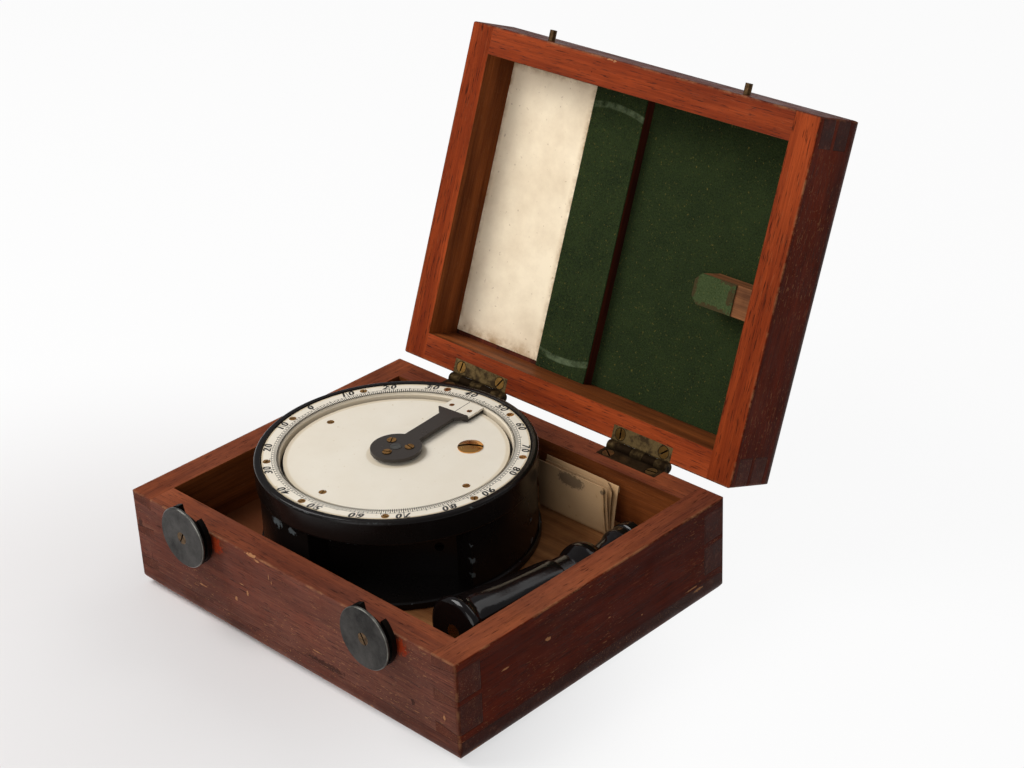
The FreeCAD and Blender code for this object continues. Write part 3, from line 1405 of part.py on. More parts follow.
def make_papers():
    """Folded papers that stand on the floor between the instrument and the back wall."""
    back = d.inner_back - d.papers_back_gap
    front = back - d.papers_thickness
    reach = d.drum_radius + d.papers_side_gap
    rise = front - d.drum_y
    left = d.drum_x + square_root(largest(reach * reach - rise * rise, 0))
    right = left + d.papers_length
    step = d.papers_slant
    plan = [
        (left, front),
        (right, front),
        (right + step, front + d.papers_thickness / 2),
        (right, back),
        (left + 2 * step, back),
        (left, back - step),
    ]
    papers = seat(padded("papers_body", "XY_Plane", plan, d.papers_height), (0, 0, d.floor_top))
    finish("folded_papers", papers)


def write_out():
    """Rebuild, look for anything that failed, and write one file for each piece."""
    doc.recompute()
    for item in doc.Objects:
        bad = [state for state in item.State if state in ("Invalid", "Error")]
        if bad:
            raise RuntimeError(item.Name + " failed: " + str(item.State))
    for node, item in finished:
        if item.Shape.isNull() or not item.Shape.isValid() or not item.Shape.Solids:
            raise RuntimeError(node + " has no valid shape")
    os.makedirs("parts", exist_ok=True)
    for node, item in finished:
        item.Shape.exportStep("parts/" + node + ".step")
    print(len(finished), "pieces written")


make_base()
make_lid()
make_lining()
make_hold_down()
make_hinges()
make_catches()
make_foot()
make_drum_wall()
make_eye_plate()
make_bezel()
make_dials()
make_index_arm()
make_vernier()
make_spindle()
make_index_mirror()
make_horizon_mirror()
make_handle()
make_papers()
write_out()
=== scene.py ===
import json
import math

import bpy
from bpy.props import FloatProperty, FloatVectorProperty, IntProperty, PointerProperty
from bpy.types import Operator, Panel, PropertyGroup
from mathutils import Matrix, Vector


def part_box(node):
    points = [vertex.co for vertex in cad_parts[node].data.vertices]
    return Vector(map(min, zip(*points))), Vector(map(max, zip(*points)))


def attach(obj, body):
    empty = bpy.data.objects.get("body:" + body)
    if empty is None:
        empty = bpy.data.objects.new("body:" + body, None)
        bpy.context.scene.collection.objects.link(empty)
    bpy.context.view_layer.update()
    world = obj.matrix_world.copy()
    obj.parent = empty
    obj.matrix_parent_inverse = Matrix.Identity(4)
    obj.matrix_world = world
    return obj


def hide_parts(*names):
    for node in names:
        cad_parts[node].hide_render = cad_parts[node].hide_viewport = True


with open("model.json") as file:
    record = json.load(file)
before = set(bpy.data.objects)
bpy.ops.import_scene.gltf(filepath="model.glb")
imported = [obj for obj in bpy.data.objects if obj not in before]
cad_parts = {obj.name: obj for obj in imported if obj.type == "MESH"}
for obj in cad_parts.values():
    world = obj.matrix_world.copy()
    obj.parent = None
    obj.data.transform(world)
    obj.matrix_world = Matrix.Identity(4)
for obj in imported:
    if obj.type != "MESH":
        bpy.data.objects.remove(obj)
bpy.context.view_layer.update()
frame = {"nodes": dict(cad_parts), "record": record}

bl_info = {
    "name": "Sextant Box",
    "version": (1, 0, 0),
    "blender": (4, 5, 0),
    "location": "View3D > Sidebar > Box",
    "description": "Dresses the dovetailed box, its instrument, handle and papers",
    "category": "Object",
}

MM = 0.001
# How thick the printed marks are; half of it lies in the paint
INK_LIFT = 0.08 * MM

# The shut box: half its outside, its walls, and the lid's turn about the hinges' pins
HALF_X = 122.5 * MM
HALF_Y = 98.5 * MM
WALL = 16 * MM
SHOULDER_X = HALF_X - WALL
SHOULDER_Y = HALF_Y - WALL
HINGE = Vector(frame["record"]["behaviour"]["joints"][0]["pos_m"])
OPEN_ANGLE = math.radians(111)
SHUT_OFFSET = HINGE - Matrix.Rotation(OPEN_ANGLE, 3, "X") @ HINGE
# The dial's axis
DIAL = Vector((-18.5 * MM, -0.7 * MM, 0))
# The plane that an axis stands on, for distances from that axis
LYING, UPRIGHT, END_ON = (1, 1, 0), (1, 0, 1), (0, 1, 1)


# Settings

def colour(code):
    """An sRGB hex value as linear red, green and blue."""
    shares = [int(code[start:start + 2], 16) / 255 for start in (1, 3, 5)]
    return tuple(s / 12.92 if s <= 0.04045 else ((s + 0.055) / 1.055) ** 2.4 for s in shares)


def tone(name, code, description):
    return FloatVectorProperty(name=name, description=description, subtype="COLOR", min=0, max=1,
                               default=colour(code))


def length(name, millimetres, description):
    return FloatProperty(name=name, description=description, default=millimetres * MM, min=0,
                         subtype="DISTANCE", unit="LENGTH", precision=5)


def power(name, watts, description):
    return FloatProperty(name=name, description=description, default=watts, min=0, unit="POWER")


class StudioSettings(PropertyGroup):
    """Camera, lamps and floor."""

    eye: FloatVectorProperty(name="Eye", description="Where the camera stands", subtype="XYZ",
                             unit="LENGTH", default=(0.72107, -0.64883, 0.63808))
    forward: FloatVectorProperty(name="Forward", description="Where the camera looks",
                                 subtype="DIRECTION", default=(-0.62520, 0.62228, -0.47106))
    up: FloatVectorProperty(name="Up", description="The camera's upper side",
                            subtype="DIRECTION", default=(-0.30184, 0.36381, 0.88121))
    lens: FloatProperty(name="Lens", description="Focal length", default=75.51, unit="CAMERA")
    key_power: power("Key", 19.0, "Large lamp above and to the left")
    fill_power: power("Fill", 6.0, "Lamp in front")
    back_power: power("Back", 3.5, "Lamp behind the box")
    room: tone("Room", "#B9BBC0", "Light from all round")
    room_strength: FloatProperty(name="Room light", default=0.55, min=0,
                                 description="Strength of the light from all round")
    floor: tone("Floor", "#E2DFDD", "The paper that the box stands on")


class WoodSettings(PropertyGroup):
    """Boards of the box."""

    dark: tone("Dark grain", "#5C2B1B", "Darkest bands on the base's rim")
    middle: tone("Grain", "#7E3D24", "Most of the base's rim")
    light: tone("Light grain", "#A45630", "Lightest bands on the base's rim")
    lid_dark: tone("Lid's dark grain", "#6C2712", "Darkest bands on the lid's rim")
    lid_middle: tone("Lid's grain", "#8E3A18", "Most of the lid's rim")
    lid_light: tone("Lid's light grain", "#B04E25", "Lightest bands on the lid's rim")
    # The sides' colours hold painted shade as well as the wood's tone
    side_dark: tone("Dark side", "#3A1006", "Darkest bands of the polished sides")
    side: tone("Side", "#581B0A", "Most of the polished sides")
    side_light: tone("Light side", "#762A10", "Lightest bands of the polished sides")
    front_dark: tone("Dark front", "#45190E", "Darkest bands of the front and the back")
    front: tone("Front", "#6C3120", "Most of the front and the back")
    # Also laid over the whole base as painted sheen on its rims
    faded: tone("Faded", "#71493C", "Shellac of the base's front, hazed by handling")
    pore: tone("Pores", "#2C120A", "Pores, glue lines and old dirt")
    scuff: tone("Scuffs", "#8A5A44", "Dry, rubbed streaks along the grain")
    bare: tone("Bare wood", "#A87650", "Where the shellac is chipped or scratched")
    varnish: tone("Kept varnish", "#932E0C", "Unfaded shellac behind the catches")
    inner_dark: tone("Inner dark", "#4E2611", "Dark grain of the unpolished inside")
    inner_light: tone("Inner light", "#904E25", "Light grain of the unpolished inside")
    floor_dark: tone("Floor's dark grain", "#7A4A26", "Dark grain of the inner floor")
    floor_light: tone("Floor's light grain", "#B07A4A", "Light grain of the inner floor")
    # Painted shade on the inner floor, towards the left and the front
    soiled: tone("Soiled floor", "#5A2C14", "Floor where hands reached in")
    fibre: length("Fibre", 0.6, "Width of a fibre, drawn coarse enough to show")
    joint: length("Joint line", 0.22, "Half the width of a glue line")


class LiningSettings(PropertyGroup):
    """What lines the lid, and the papers."""

    baize: tone("Baize", "#303C1C", "Green woollen baize")
    baize_dark: tone("Baize shade", "#141F0D", "Between the fibres")
    fleck: tone("Flecks", "#8E7A34", "Stray yellow fibres")
    rubbed: tone("Rubbed baize", "#7C8A68", "Where the instrument's rim has rubbed")
    pad: tone("Pad", "#4C5A36", "Faded baize on the block")
    browned: tone("Browned baize", "#4A3520", "Where the pad is worn down and dirty")
    smudge: tone("Smudge", "#4A3E32", "Dirt on the papers")
    paper: tone("Label paper", "#F7E6C8", "Aged paper")
    paper_stain: tone("Stain", "#9A7344", "Brown stains")
    sheet: tone("Folded paper", "#BD9A72", "Paper of the folded sheets")
    thread: length("Thread", 0.95, "Woollen thread, drawn coarse enough to show")
    leaf_thickness: length("Leaf", 0.28, "Thickness of one folded leaf")


class MetalSettings(PropertyGroup):
    """Brass, gunmetal and lacquer."""

    brass: tone("Brass", "#C2914C", "Clean brass")
    brass_dull: tone("Dull brass", "#7A5526", "Tarnished brass")
    # Painted highlight on the catches' bevelled rim; also the spindle's bright steel
    pale: tone("Rubbed rim", "#8E8C84", "Edge of the catches, rubbed by fingers")
    bright: tone("Bright brass", "#DDA25A", "Freshly turned brass")
    bronze: tone("Dark screws", "#6E5538", "Screws of the catches")
    # Dirt and painted shade in screw slots and in the gaps round flush heads; also the darkest
    # tarnish of some metals
    slot: tone("Slot", "#1C120A", "Dirt in a screw's slot")
    hinge: tone("Hinge brass", "#8A734A", "Hinges where the tarnish is thin")
    hinge_dull: tone("Hinge tarnish", "#4A3B28", "Hinges where it is thick")
    gunmetal: tone("Gunmetal", "#474542", "Catches")
    gunmetal_dark: tone("Dark gunmetal", "#1A1918", "Catches in the hollows")
    lacquer: tone("Lacquer", "#120E0C", "Black lacquer of the case")
    chipped: tone("Chipped lacquer", "#565C5D", "Grey undercoat where it is chipped")
    arm: tone("Index arm", "#3B3530", "Worn black on the index arm")


class DialSettings(PropertyGroup):
    """Graduated ring and inner dial."""

    face: tone("Face", "#E6DDCC", "Aged ivory paint")
    age: tone("Ageing", "#B79B66", "Yellowed paint beside edges")
    ink: tone("Ink", "#080605", "Marks and figures")
    line: length("Mark", 0.44, "Width of a mark")
    strike: length("Strike", 0.22, "How far the strikes of a figure lie apart")
    digit: length("Figure", 6.0, "Height of a line of figures")
    whole_turn_marks: IntProperty(name="Marks", description="Short marks round the ring",
                                  default=360, min=36)


def settings(name):
    return getattr(bpy.context.scene, "box_" + name)


# Building a material from nodes

def add_node(tree, kind, *inputs, sockets=None, out=0, **options):
    """Add one node of a kind, which may name its operation too, set its options, and fill its
    sockets in their order and then by name: an output is linked, and None leaves a socket alone.
    Gives one output, or all of them where out is None."""
    kind, _, operation = kind.partition(" ")
    node = tree.nodes.new("ShaderNode" + kind)
    if operation:
        node.operation = operation
    for option, value in options.items():
        setattr(node, option, value)
    for socket, value in [*enumerate(inputs), *(sockets or {}).items()]:
        if isinstance(value, bpy.types.NodeSocket):
            tree.links.new(value, node.inputs[socket])
        elif value is not None:
            node.inputs[socket].default_value = value
    return node.outputs if out is None else node.outputs[out]


def rgba(value):
    """A colour as a socket takes it. An output stays as it is."""
    return value if isinstance(value, bpy.types.NodeSocket) else (*value, 1.0)


class Surface:
    """A material while it is built: its nodes, its colour so far, and the place and the normal on
    the shut box, so that a lid's pattern follows its boards."""

    def __init__(self, name, of_lid=False, **values):
        self.material = bpy.data.materials.new(name)
        self.material.use_nodes = True
        self.tree = self.material.node_tree
        self.shader = self.tree.nodes["Principled BSDF"]
        for socket, value in values.items():
            self.shader.inputs[socket.replace("_", " ")].default_value = value
        self.base = None
        coordinates = self.add("TexCoord", out=None)
        self.place, self.normal = coordinates["Object"], coordinates["Normal"]
        if of_lid:
            turn = (OPEN_ANGLE, 0, 0)
            self.place = self.add("Mapping", self.place, SHUT_OFFSET, turn)
            self.normal = self.add("Mapping", self.normal, None, turn, vector_type="VECTOR")

    def add(self, kind, *inputs, **details):
        return add_node(self.tree, kind, *inputs, **details)

    def noise(self, place, sizes, offset, detail, roughness):
        """A soft noise: the sizes are those of its patches along the axes, in millimetres."""
        moved = self.add("Mapping", place, offset, None, [1 / (size * MM) for size in sizes])
        return self.add("TexNoise", moved, sockets={"Scale": 1.0, "Detail": detail,
                                                    "Roughness": roughness})

    def patches(self, size, low, high, detail=3.0, roughness=0.55, offset=(0, 0, 0), place=None):
        """Soft patches: 0 under one level of a noise, 1 over another. The size is a patch's in
        millimetres, or its size along each axis."""
        sizes = size if isinstance(size, tuple) else (size, size, size)
        level = self.noise(place or self.place, sizes, offset, detail, roughness)
        return self.add("MapRange", level, low, high)

    def near(self, value, target, reach):
        """1 where a value is within reach of a target, fading to 0."""
        off = self.add("Math SUBTRACT", value, target)
        size = self.add("Math ABSOLUTE", off)
        return self.add("MapRange", size, reach, reach * 1.6, 1.0, 0.0)

    def away(self, centre, plane=(1, 1, 1)):
        """How far a place is from a point, or from an axis that stands on a plane."""
        off = self.add("VectorMath SUBTRACT", self.place, centre)
        flat = self.add("VectorMath MULTIPLY", off, plane)
        return self.add("VectorMath LENGTH", flat, out="Value")

    def beyond(self, levels, fade):
        """How far out a place is along x and along y: 0 up to a level, 1 a fade further out."""
        out = self.add("VectorMath ABSOLUTE", self.place)
        axes = self.add("SeparateXYZ", out, out=None)
        return [self.add("MapRange", axis, level, level + fade)
                for axis, level in zip(axes, levels)]

    def blot(self, centre, reach, ragged=1.1):
        """1 in a ragged spot: its centre and its half-lengths in millimetres. The edge is torn in
        steps of 1.43 mm, as wood and lacquer chip."""
        scale = [1 / (half * MM) for half in reach]
        moved = [-value * MM * factor for value, factor in zip(centre, scale)]
        local = self.add("Mapping", self.place, moved, None, scale)
        off = self.add("VectorMath LENGTH", local, out="Value")
        wobble = self.noise(self.place, (1.43, 1.43, 1.43), centre, 3.0, 0.5)
        spread = self.add("Math MULTIPLY_ADD", wobble, ragged, off)
        return self.add("MapRange", spread, 0.45 + ragged / 2, 0.6 + ragged / 2, 1.0, 0.0)

    def along_grain(self, vector, across):
        """Turn a vector so that x runs along the grain."""
        if not across:
            return vector
        return self.add("Mapping", vector, None, (0, 0, math.tau / 4), vector_type="VECTOR")

    def blend(self, under, over, *shares):
        """Lay one colour over another, as strongly as all the shares together say."""
        share = shares[0]
        for other in shares[1:]:
            share = self.add("Math MULTIPLY", share, other)
        return self.add("Mix", sockets={0: share, 6: rgba(under), 7: rgba(over)}, out=2,
                        data_type="RGBA")

    def tint(self, over, *shares):
        """Lay a colour over what is there."""
        self.base = self.blend(self.base, over, *shares)

    def fibred(self, base, fibres, darkest, lightest):
        """Shade a colour by its fibres."""
        shade = self.add("MapRange", fibres, 0.0, 1.0, darkest, lightest)
        return self.add("VectorMath MULTIPLY", base, shade)

    def finish(self, roughness=None, height=None, lift=None, strength=None):
        """Link what was worked out to the shader and give the material."""
        self.tree.links.new(self.base, self.shader.inputs["Base Color"])
        if roughness is not None:
            self.tree.links.new(roughness, self.shader.inputs["Roughness"])
        if height is not None:
            bump = self.add("Bump", sockets={"Height": height, "Strength": strength,
                                             "Distance": lift})
            self.tree.links.new(bump, self.shader.inputs["Normal"])
        return self.material


def dress(material, *names):
    """Give a material to CAD nodes."""
    for name in names:
        slots = frame["nodes"][name].data.materials
        slots.clear()
        slots.append(material)


# Marks of use on a board, by colour: centre on the shut box and half-lengths in millimetres
WEAR = {
    "base_front": {
        "bare": ((-23.5, -98.3, 57.6, 7.4, 2.4, 1.5), (-19.5, -98.5, 56.2, 3.2, 2.0, 1.2),
            (-11.0, -98.5, 50.4, 0.5, 1.0, 3.0), (-9.2, -98.5, 47.6, 0.4, 1.0, 2.2),
            (-40.0, -98.5, 25.0, 1.6, 1.0, 2.6), (-68.0, -98.5, 21.0, 5.0, 1.0, 0.6),
            (-34.0, -98.5, 36.0, 3.0, 1.0, 0.7), (-30.0, -98.5, 32.0, 1.2, 1.0, 3.2),
            (22.0, -98.5, 20.0, 6.0, 1.0, 0.5), (109.0, -98.5, 33.0, 2.4, 1.0, 1.2),
            (113.0, -98.5, 24.0, 1.4, 1.0, 2.2), (3.7, -98.5, 25.4, 1.0, 1.0, 0.9),
            (60.0, -98.0, 5.5, 2.4, 3.0, 2.2)),
        "pore": ((-118.0, -98.5, 38.0, 3.4, 1.0, 9.0), (30.0, -98.5, 15.0, 22.0, 1.0, 3.4),
            (91.5, -98.5, 23.0, 2.6, 1.0, 3.2), (-111.0, -98.5, 21.0, 0.6, 1.0, 4.0)),
        "varnish": ((-52.6, -98.5, 52.0, 9.5, 3.0, 8.4), (85.2, -98.5, 51.8, 8.8, 3.0, 8.2)),
    },
    "base_right": {
        "bare": ((122.5, -36.4, 40.5, 1.0, 3.6, 2.0), (122.5, -66.0, 39.0, 1.0, 5.0, 0.9),
            (122.5, 32.5, 19.0, 1.0, 1.2, 0.8), (122.5, 72.0, 14.5, 1.0, 9.0, 0.8),
            (122.5, 8.0, 30.0, 1.0, 1.6, 0.5)),
        "pore": ((122.5, -36.6, 39.9, 1.0, 2.8, 1.5), (122.5, 86.0, 26.0, 1.0, 8.0, 14.0)),
    },
    "base_bottom": {
        "pore": ((122.5, -73.5, 12.6, 2.0, 14.0, 2.4), (122.5, -20.0, 10.0, 2.0, 40.0, 4.4),
            (122.5, 56.0, 9.0, 2.0, 34.0, 5.0)),
        "bare": ((122.4, -88.0, 4.0, 3.0, 10.0, 1.8), (122.4, 10.0, 2.5, 3.0, 26.0, 1.2),
            (122.0, 77.0, 11.6, 3.0, 6.0, 1.4), (60.0, -98.0, 4.5, 2.4, 3.0, 2.2)),
    },
    "lid_front": {
        "bare": ((-19.5, -97.8, 58.6, 5.6, 1.0, 1.2), (-15.0, -97.6, 58.4, 2.2, 1.4, 1.0)),
    },
    "lid_right": {
        "bare": ((122.5, -90.0, 94.0, 1.4, 2.0, 2.0),),
    },
}


def shellacked_wood(board, across, seed):
    """Mahogany, sawn straight and finished with shellac: reddish bands with dark pores, gone
    dull, with scratches down to the pale wood, dark end grain at the joints and an oiled inside.
    Bands are 8 mm wide and as long as a board, as year rings cut at a slant. Fibres, pores and
    scratches are drawn several times as wide as real ones, or they wouldn't show."""
    wood = settings("wood")
    of_lid = board.startswith("lid")
    skin = Surface("shellacked_" + board, of_lid, Specular_IOR_Level=0.03 if across else 0.06)
    grain = skin.along_grain(skin.place, across)
    shift = (seed, seed * 1.7, seed * 0.6)
    fibre = wood.fibre / MM
    bands = skin.patches((143, 7.69, 7.69), 0.3, 0.7, 5.0, 0.6, shift, grain)
    pale = skin.patches((286, 23.8, 16.7), 0.42, 0.75, 4.0, 0.6, shift[::-1], grain)

    def banded(dark, middle, light):
        return skin.blend(skin.blend(dark, middle, bands), light, pale)

    skin.base = (banded(wood.lid_dark, wood.lid_middle, wood.lid_light) if of_lid
                 else banded(wood.dark, wood.middle, wood.light))

    # The outer faces and the lid's top are darker than the rims, partly the wood's tone and partly
    # painted shade: the sides redder and darkest, the base's front hazed
    xyz = skin.add("SeparateXYZ", skin.place, out=None)
    x_size, y_size = (skin.add("Math ABSOLUTE", xyz[axis]) for axis in (0, 1))
    height = xyz[2]
    top = skin.add("MapRange", height, 92.0 * MM, 94.0 * MM)
    ends, fronts = skin.beyond((HALF_X - 0.9 * MM, HALF_Y - 0.9 * MM), 0.7 * MM)
    sides = skin.add("Math MAXIMUM", ends, top)
    side = banded(wood.side_dark, wood.side, wood.side_light)
    face = skin.blend(wood.front_dark, wood.front, bands)
    if not of_lid:
        # Painted shade: the base's sides darker still
        side = skin.blend(side, wood.side_dark, 0.3)
        hazed = skin.patches(90.9, 0.25, 0.7, 4.0, 0.6, shift)
        face = skin.blend(face, wood.faded, hazed, 0.7)
        handled = skin.patches(33.3, 0.4, 0.75, 5.0, 0.65, shift)
        skin.tint(wood.front_dark, handled, 0.55)
        # A pale haze over the whole base: painted sheen on the rims, hazed shellac elsewhere
        skin.tint(wood.faded, hazed, 0.35)
    if board == "base_bottom":
        side = skin.blend(side, wood.side_dark, 0.6)
        face = skin.blend(face, wood.side_dark, 0.2)
    skin.tint(side, sides)
    skin.tint(face, fronts)
    fibres = skin.patches((fibre * 40, fibre, fibre), 0.2, 0.8, 2.0, 0.5, shift, grain)
    skin.base = skin.fibred(skin.base, fibres, 0.68, 1.24)
    pores = skin.patches((fibre * 14, fibre * 1.11, fibre * 1.11), 0.6, 0.68, 2.0, 0.5, shift,
                         grain)
    skin.tint(wood.pore, pores, 0.75)

    # The inside of the walls was never polished
    walls = skin.add("Math MAXIMUM", *skin.beyond((SHOULDER_X, SHOULDER_Y), 0.2 * MM))
    inside = skin.add("Math MULTIPLY_ADD", walls, -1.0, 1.0)
    inside = skin.add("Math SUBTRACT", inside, top, use_clamp=True)
    raw = skin.blend(wood.inner_dark, wood.inner_light, bands)
    skin.tint(skin.fibred(raw, fibres, 0.68, 1.24), inside)

    # End grain soaks up more shellac and dirt
    facing = skin.along_grain(skin.normal, across)
    along = skin.add("Math ABSOLUTE", skin.add("SeparateXYZ", facing))
    end_grain = skin.add("MapRange", along, 0.5, 0.8)
    soaked = skin.patches((18.2, 18.2, 11.1), 0.25, 0.75, 5.0, 0.7, shift)
    soaked = skin.add("MapRange", soaked, -0.7, 1.0)
    skin.tint(wood.pore, end_grain, soaked, 0.35 if across else 0.8)

    # Glue lines of the dovetails and of the bottom or top board. A joint has two tails, one on
    # each side of its middle level, that flare by 2 mm from the shoulder to the board's end.
    middle, tail, seam = (73.7, 12.0, 89.2) if of_lid else (35.5, 18.0, 13.0)
    half = wood.joint
    up = skin.add("Math SUBTRACT", height, middle * MM)
    up = skin.add("Math ABSOLUTE", up)
    flare = skin.add("MapRange", x_size, SHOULDER_X, HALF_X, 2 * MM, 0.0)
    outer = skin.add("Math ADD", up, flare)
    inner = skin.add("Math SUBTRACT", up, flare)
    lines = skin.add("Math MAXIMUM", skin.near(outer, tail * MM, half),
                     skin.near(inner, 1.5 * MM, half))
    corner = skin.add("Math MULTIPLY", *skin.beyond((SHOULDER_X - half, SHOULDER_Y - half), half))
    lines = skin.add("Math MULTIPLY", lines, corner)
    between = skin.add("Math MULTIPLY", skin.add("MapRange", up, 1.4 * MM, 1.6 * MM),
                       skin.add("MapRange", up, (tail - 0.1) * MM, (tail + 0.1) * MM, 1.0, 0.0))
    ends = skin.add("Math MULTIPLY", skin.near(y_size, SHOULDER_Y, half),
                    skin.add("MapRange", x_size, HALF_X - 0.4 * MM, HALF_X - 0.2 * MM))
    ends = skin.add("Math MULTIPLY", ends, between)
    for more in (ends, skin.near(height, seam * MM, half * 0.8)):
        lines = skin.add("Math MAXIMUM", lines, more)
    scuffed = skin.patches((40, 3.85, 3.85), 0.52, 0.75, 6.0, 0.75, shift, grain)
    outside = skin.add("Math MAXIMUM", sides, fronts)
    outside = skin.add("MapRange", outside, -0.35, 1.0)
    skin.tint(wood.scuff, scuffed, outside, 0.12 if across else 0.4)
    broken = skin.patches(16.7, 0.35, 0.55, 3.0, 0.6, shift)
    skin.tint(wood.pore, lines, broken, 0.75)

    # Old dirt in blotches, more of it low down
    dirtiest, cleanest = (97, 73) if of_lid else (-4, 33)
    low = skin.add("MapRange", height, dirtiest * MM, cleanest * MM, 1.0, 0.2)
    dirt = skin.patches((38.5, 38.5, 25), 0.4, 0.7, 6.0, 0.65, shift)
    skin.tint(wood.pore, dirt, low, 0.85)

    # Scratches, nicks and pits
    wear = skin.patches(3.33, 0.745, 0.775, 3.0, 0.6, shift)
    for number, turn in enumerate((0.1, -0.14, 0.7)):
        skew = skin.add("Mapping", grain, None, (turn * 0.7, turn * 0.6, turn))
        scratch = skin.patches((18.2, 0.667, 0.667), 0.69, 0.75, 1.0, 0.5, (number + seed, 0, 0),
                               skew)
        wear = skin.add("Math MAXIMUM", wear, scratch)
    pits = skin.patches(4.17, 0.7, 0.73, 4.0, 0.7, shift[::-1])
    skin.tint(wood.pore, pits, 0.7)
    gate = skin.patches(62.5, 0.42, 0.62, 3.0, 0.6, shift[::-1])
    for share in (gate, outside, 0.7):
        wear = skin.add("Math MULTIPLY", wear, share)

    # Rubbed edges, and the marks of use
    edges = skin.beyond((HALF_X - 1.6 * MM, HALF_Y - 1.6 * MM), 1.2 * MM)
    rim_level, face_level = (58.2, 96.2) if of_lid else (58.0, 0.0)
    rim = skin.add("Math MAXIMUM", skin.near(height, rim_level * MM, 0.5 * MM),
                   skin.near(height, face_level * MM, 1.2 * MM))
    rim = skin.add("Math MULTIPLY", rim, skin.add("Math MAXIMUM", *edges))
    arris = skin.add("Math MAXIMUM", skin.add("Math MULTIPLY", *edges), rim)
    for share in (skin.patches(14.3, 0.46, 0.6, 6.0, 0.75, shift), 0.5):
        arris = skin.add("Math MULTIPLY", arris, share)
    spots = {"bare": skin.add("Math MAXIMUM", wear, arris)}
    for kind, marks in WEAR.get(board, {}).items():
        for mark in marks:
            spot = skin.blot(mark[:3], mark[3:])
            spots[kind] = skin.add("Math MAXIMUM", spot, spots.get(kind, 0.0))
    for kind, share in (("varnish", 0.8), ("pore", 0.75), ("bare", 0.9)):
        if kind in spots:
            skin.tint(getattr(wood, kind), spots[kind], share)

    mottled = skin.patches(16.7, 0.3, 0.7, 4.0, 0.6, shift)
    dull = skin.add("MapRange", mottled, 0.0, 1.0, 0.38, 0.58)
    dull = skin.add("Math MULTIPLY_ADD", spots["bare"], 0.3, dull)
    worn_down = skin.add("Math MULTIPLY", spots["bare"], -0.8)
    hollows = skin.add("Math MAXIMUM", pores, lines)
    dents = skin.add("Math MULTIPLY_ADD", hollows, -1.0, worn_down)
    return skin.finish(dull, dents, 0.12 * MM, 0.6)


def oiled_wood(name, across, of_lid, seed, dark, light, soiled=False):
    """Unpolished wood of the inside: dull, brown, with plain grain and stains. Where asked,
    painted shade makes it darker and redder to the left and the front, as on the inner floor.
    Bands and fibres have the sizes of the shellacked boards."""
    wood = settings("wood")
    skin = Surface(name, of_lid, Roughness=0.72, Specular_IOR_Level=0.12)
    grain = skin.along_grain(skin.place, across)
    fibre = wood.fibre / MM
    shift = (seed, seed * 2.1, seed * 0.3)
    bands = skin.patches((125, 7.14, 7.14), 0.3, 0.72, 5.0, 0.6, shift, grain)
    fibres = skin.patches((fibre * 30, fibre, fibre), 0.2, 0.8, 2.0, 0.5, shift, grain)
    skin.base = skin.fibred(skin.blend(dark, light, bands), fibres, 0.7, 1.2)
    stain = skin.patches(45.5, 0.45, 0.7, 5.0, 0.65, shift)
    skin.tint(wood.pore, stain, 0.5)
    if soiled:
        # Painted shade: darker and redder towards the left and the front
        diagonal = skin.add("VectorMath DOT_PRODUCT", skin.place, (0.7, 0.7, 0), out="Value")
        skin.tint(wood.soiled, skin.add("MapRange", diagonal, -60 * MM, 30 * MM, 0.9, 0.0))
    return skin.finish(None, fibres, 0.08 * MM, 0.5)


def woollen_baize(name, ground, shade, arcs=(), worn=()):
    """Felted woollen cloth: matt and nappy, with stray yellow fibres and a soft sheen. Arcs are
    rubbed rings: centre and radius on the shut box. Worn places are browned: centre and reach.
    The nap is drawn three times as coarse as real, or it wouldn't show."""
    lining = settings("lining")
    skin = Surface(name, True, Roughness=0.95, Sheen_Weight=0.03, Sheen_Roughness=0.5,
                   Specular_IOR_Level=0.05)
    thread = lining.thread / MM
    nap = skin.patches(thread, 0.39, 0.61, 5.0, 0.8)
    cloud = skin.patches(22.2, 0.35, 0.65, 6.0, 0.75)
    cloud = skin.add("Math MULTIPLY", cloud, 0.4)
    mixed = skin.add("Math MULTIPLY_ADD", nap, 0.85, cloud)
    skin.base = skin.blend(shade, ground, mixed)
    fleck = skin.patches((thread / 0.75, thread / 0.55, thread / 0.55), 0.63, 0.74, 3.0, 0.6,
                         (3.0, 1.0, 2.0))
    skin.tint(lining.fleck, fleck, 0.5)
    for centre, radius in arcs:
        ring = skin.near(skin.away(Vector(centre) * MM, LYING), radius * MM, 1.3 * MM)
        uneven = skin.patches(11.1, 0.35, 0.7, 4.0, 0.7)
        skin.tint(lining.rubbed, ring, uneven, 0.75)
    for centre, reach in worn:
        skin.tint(lining.browned, skin.blot(centre, reach), 0.75)
    return skin.finish(None, nap, 0.35 * MM, 0.8)


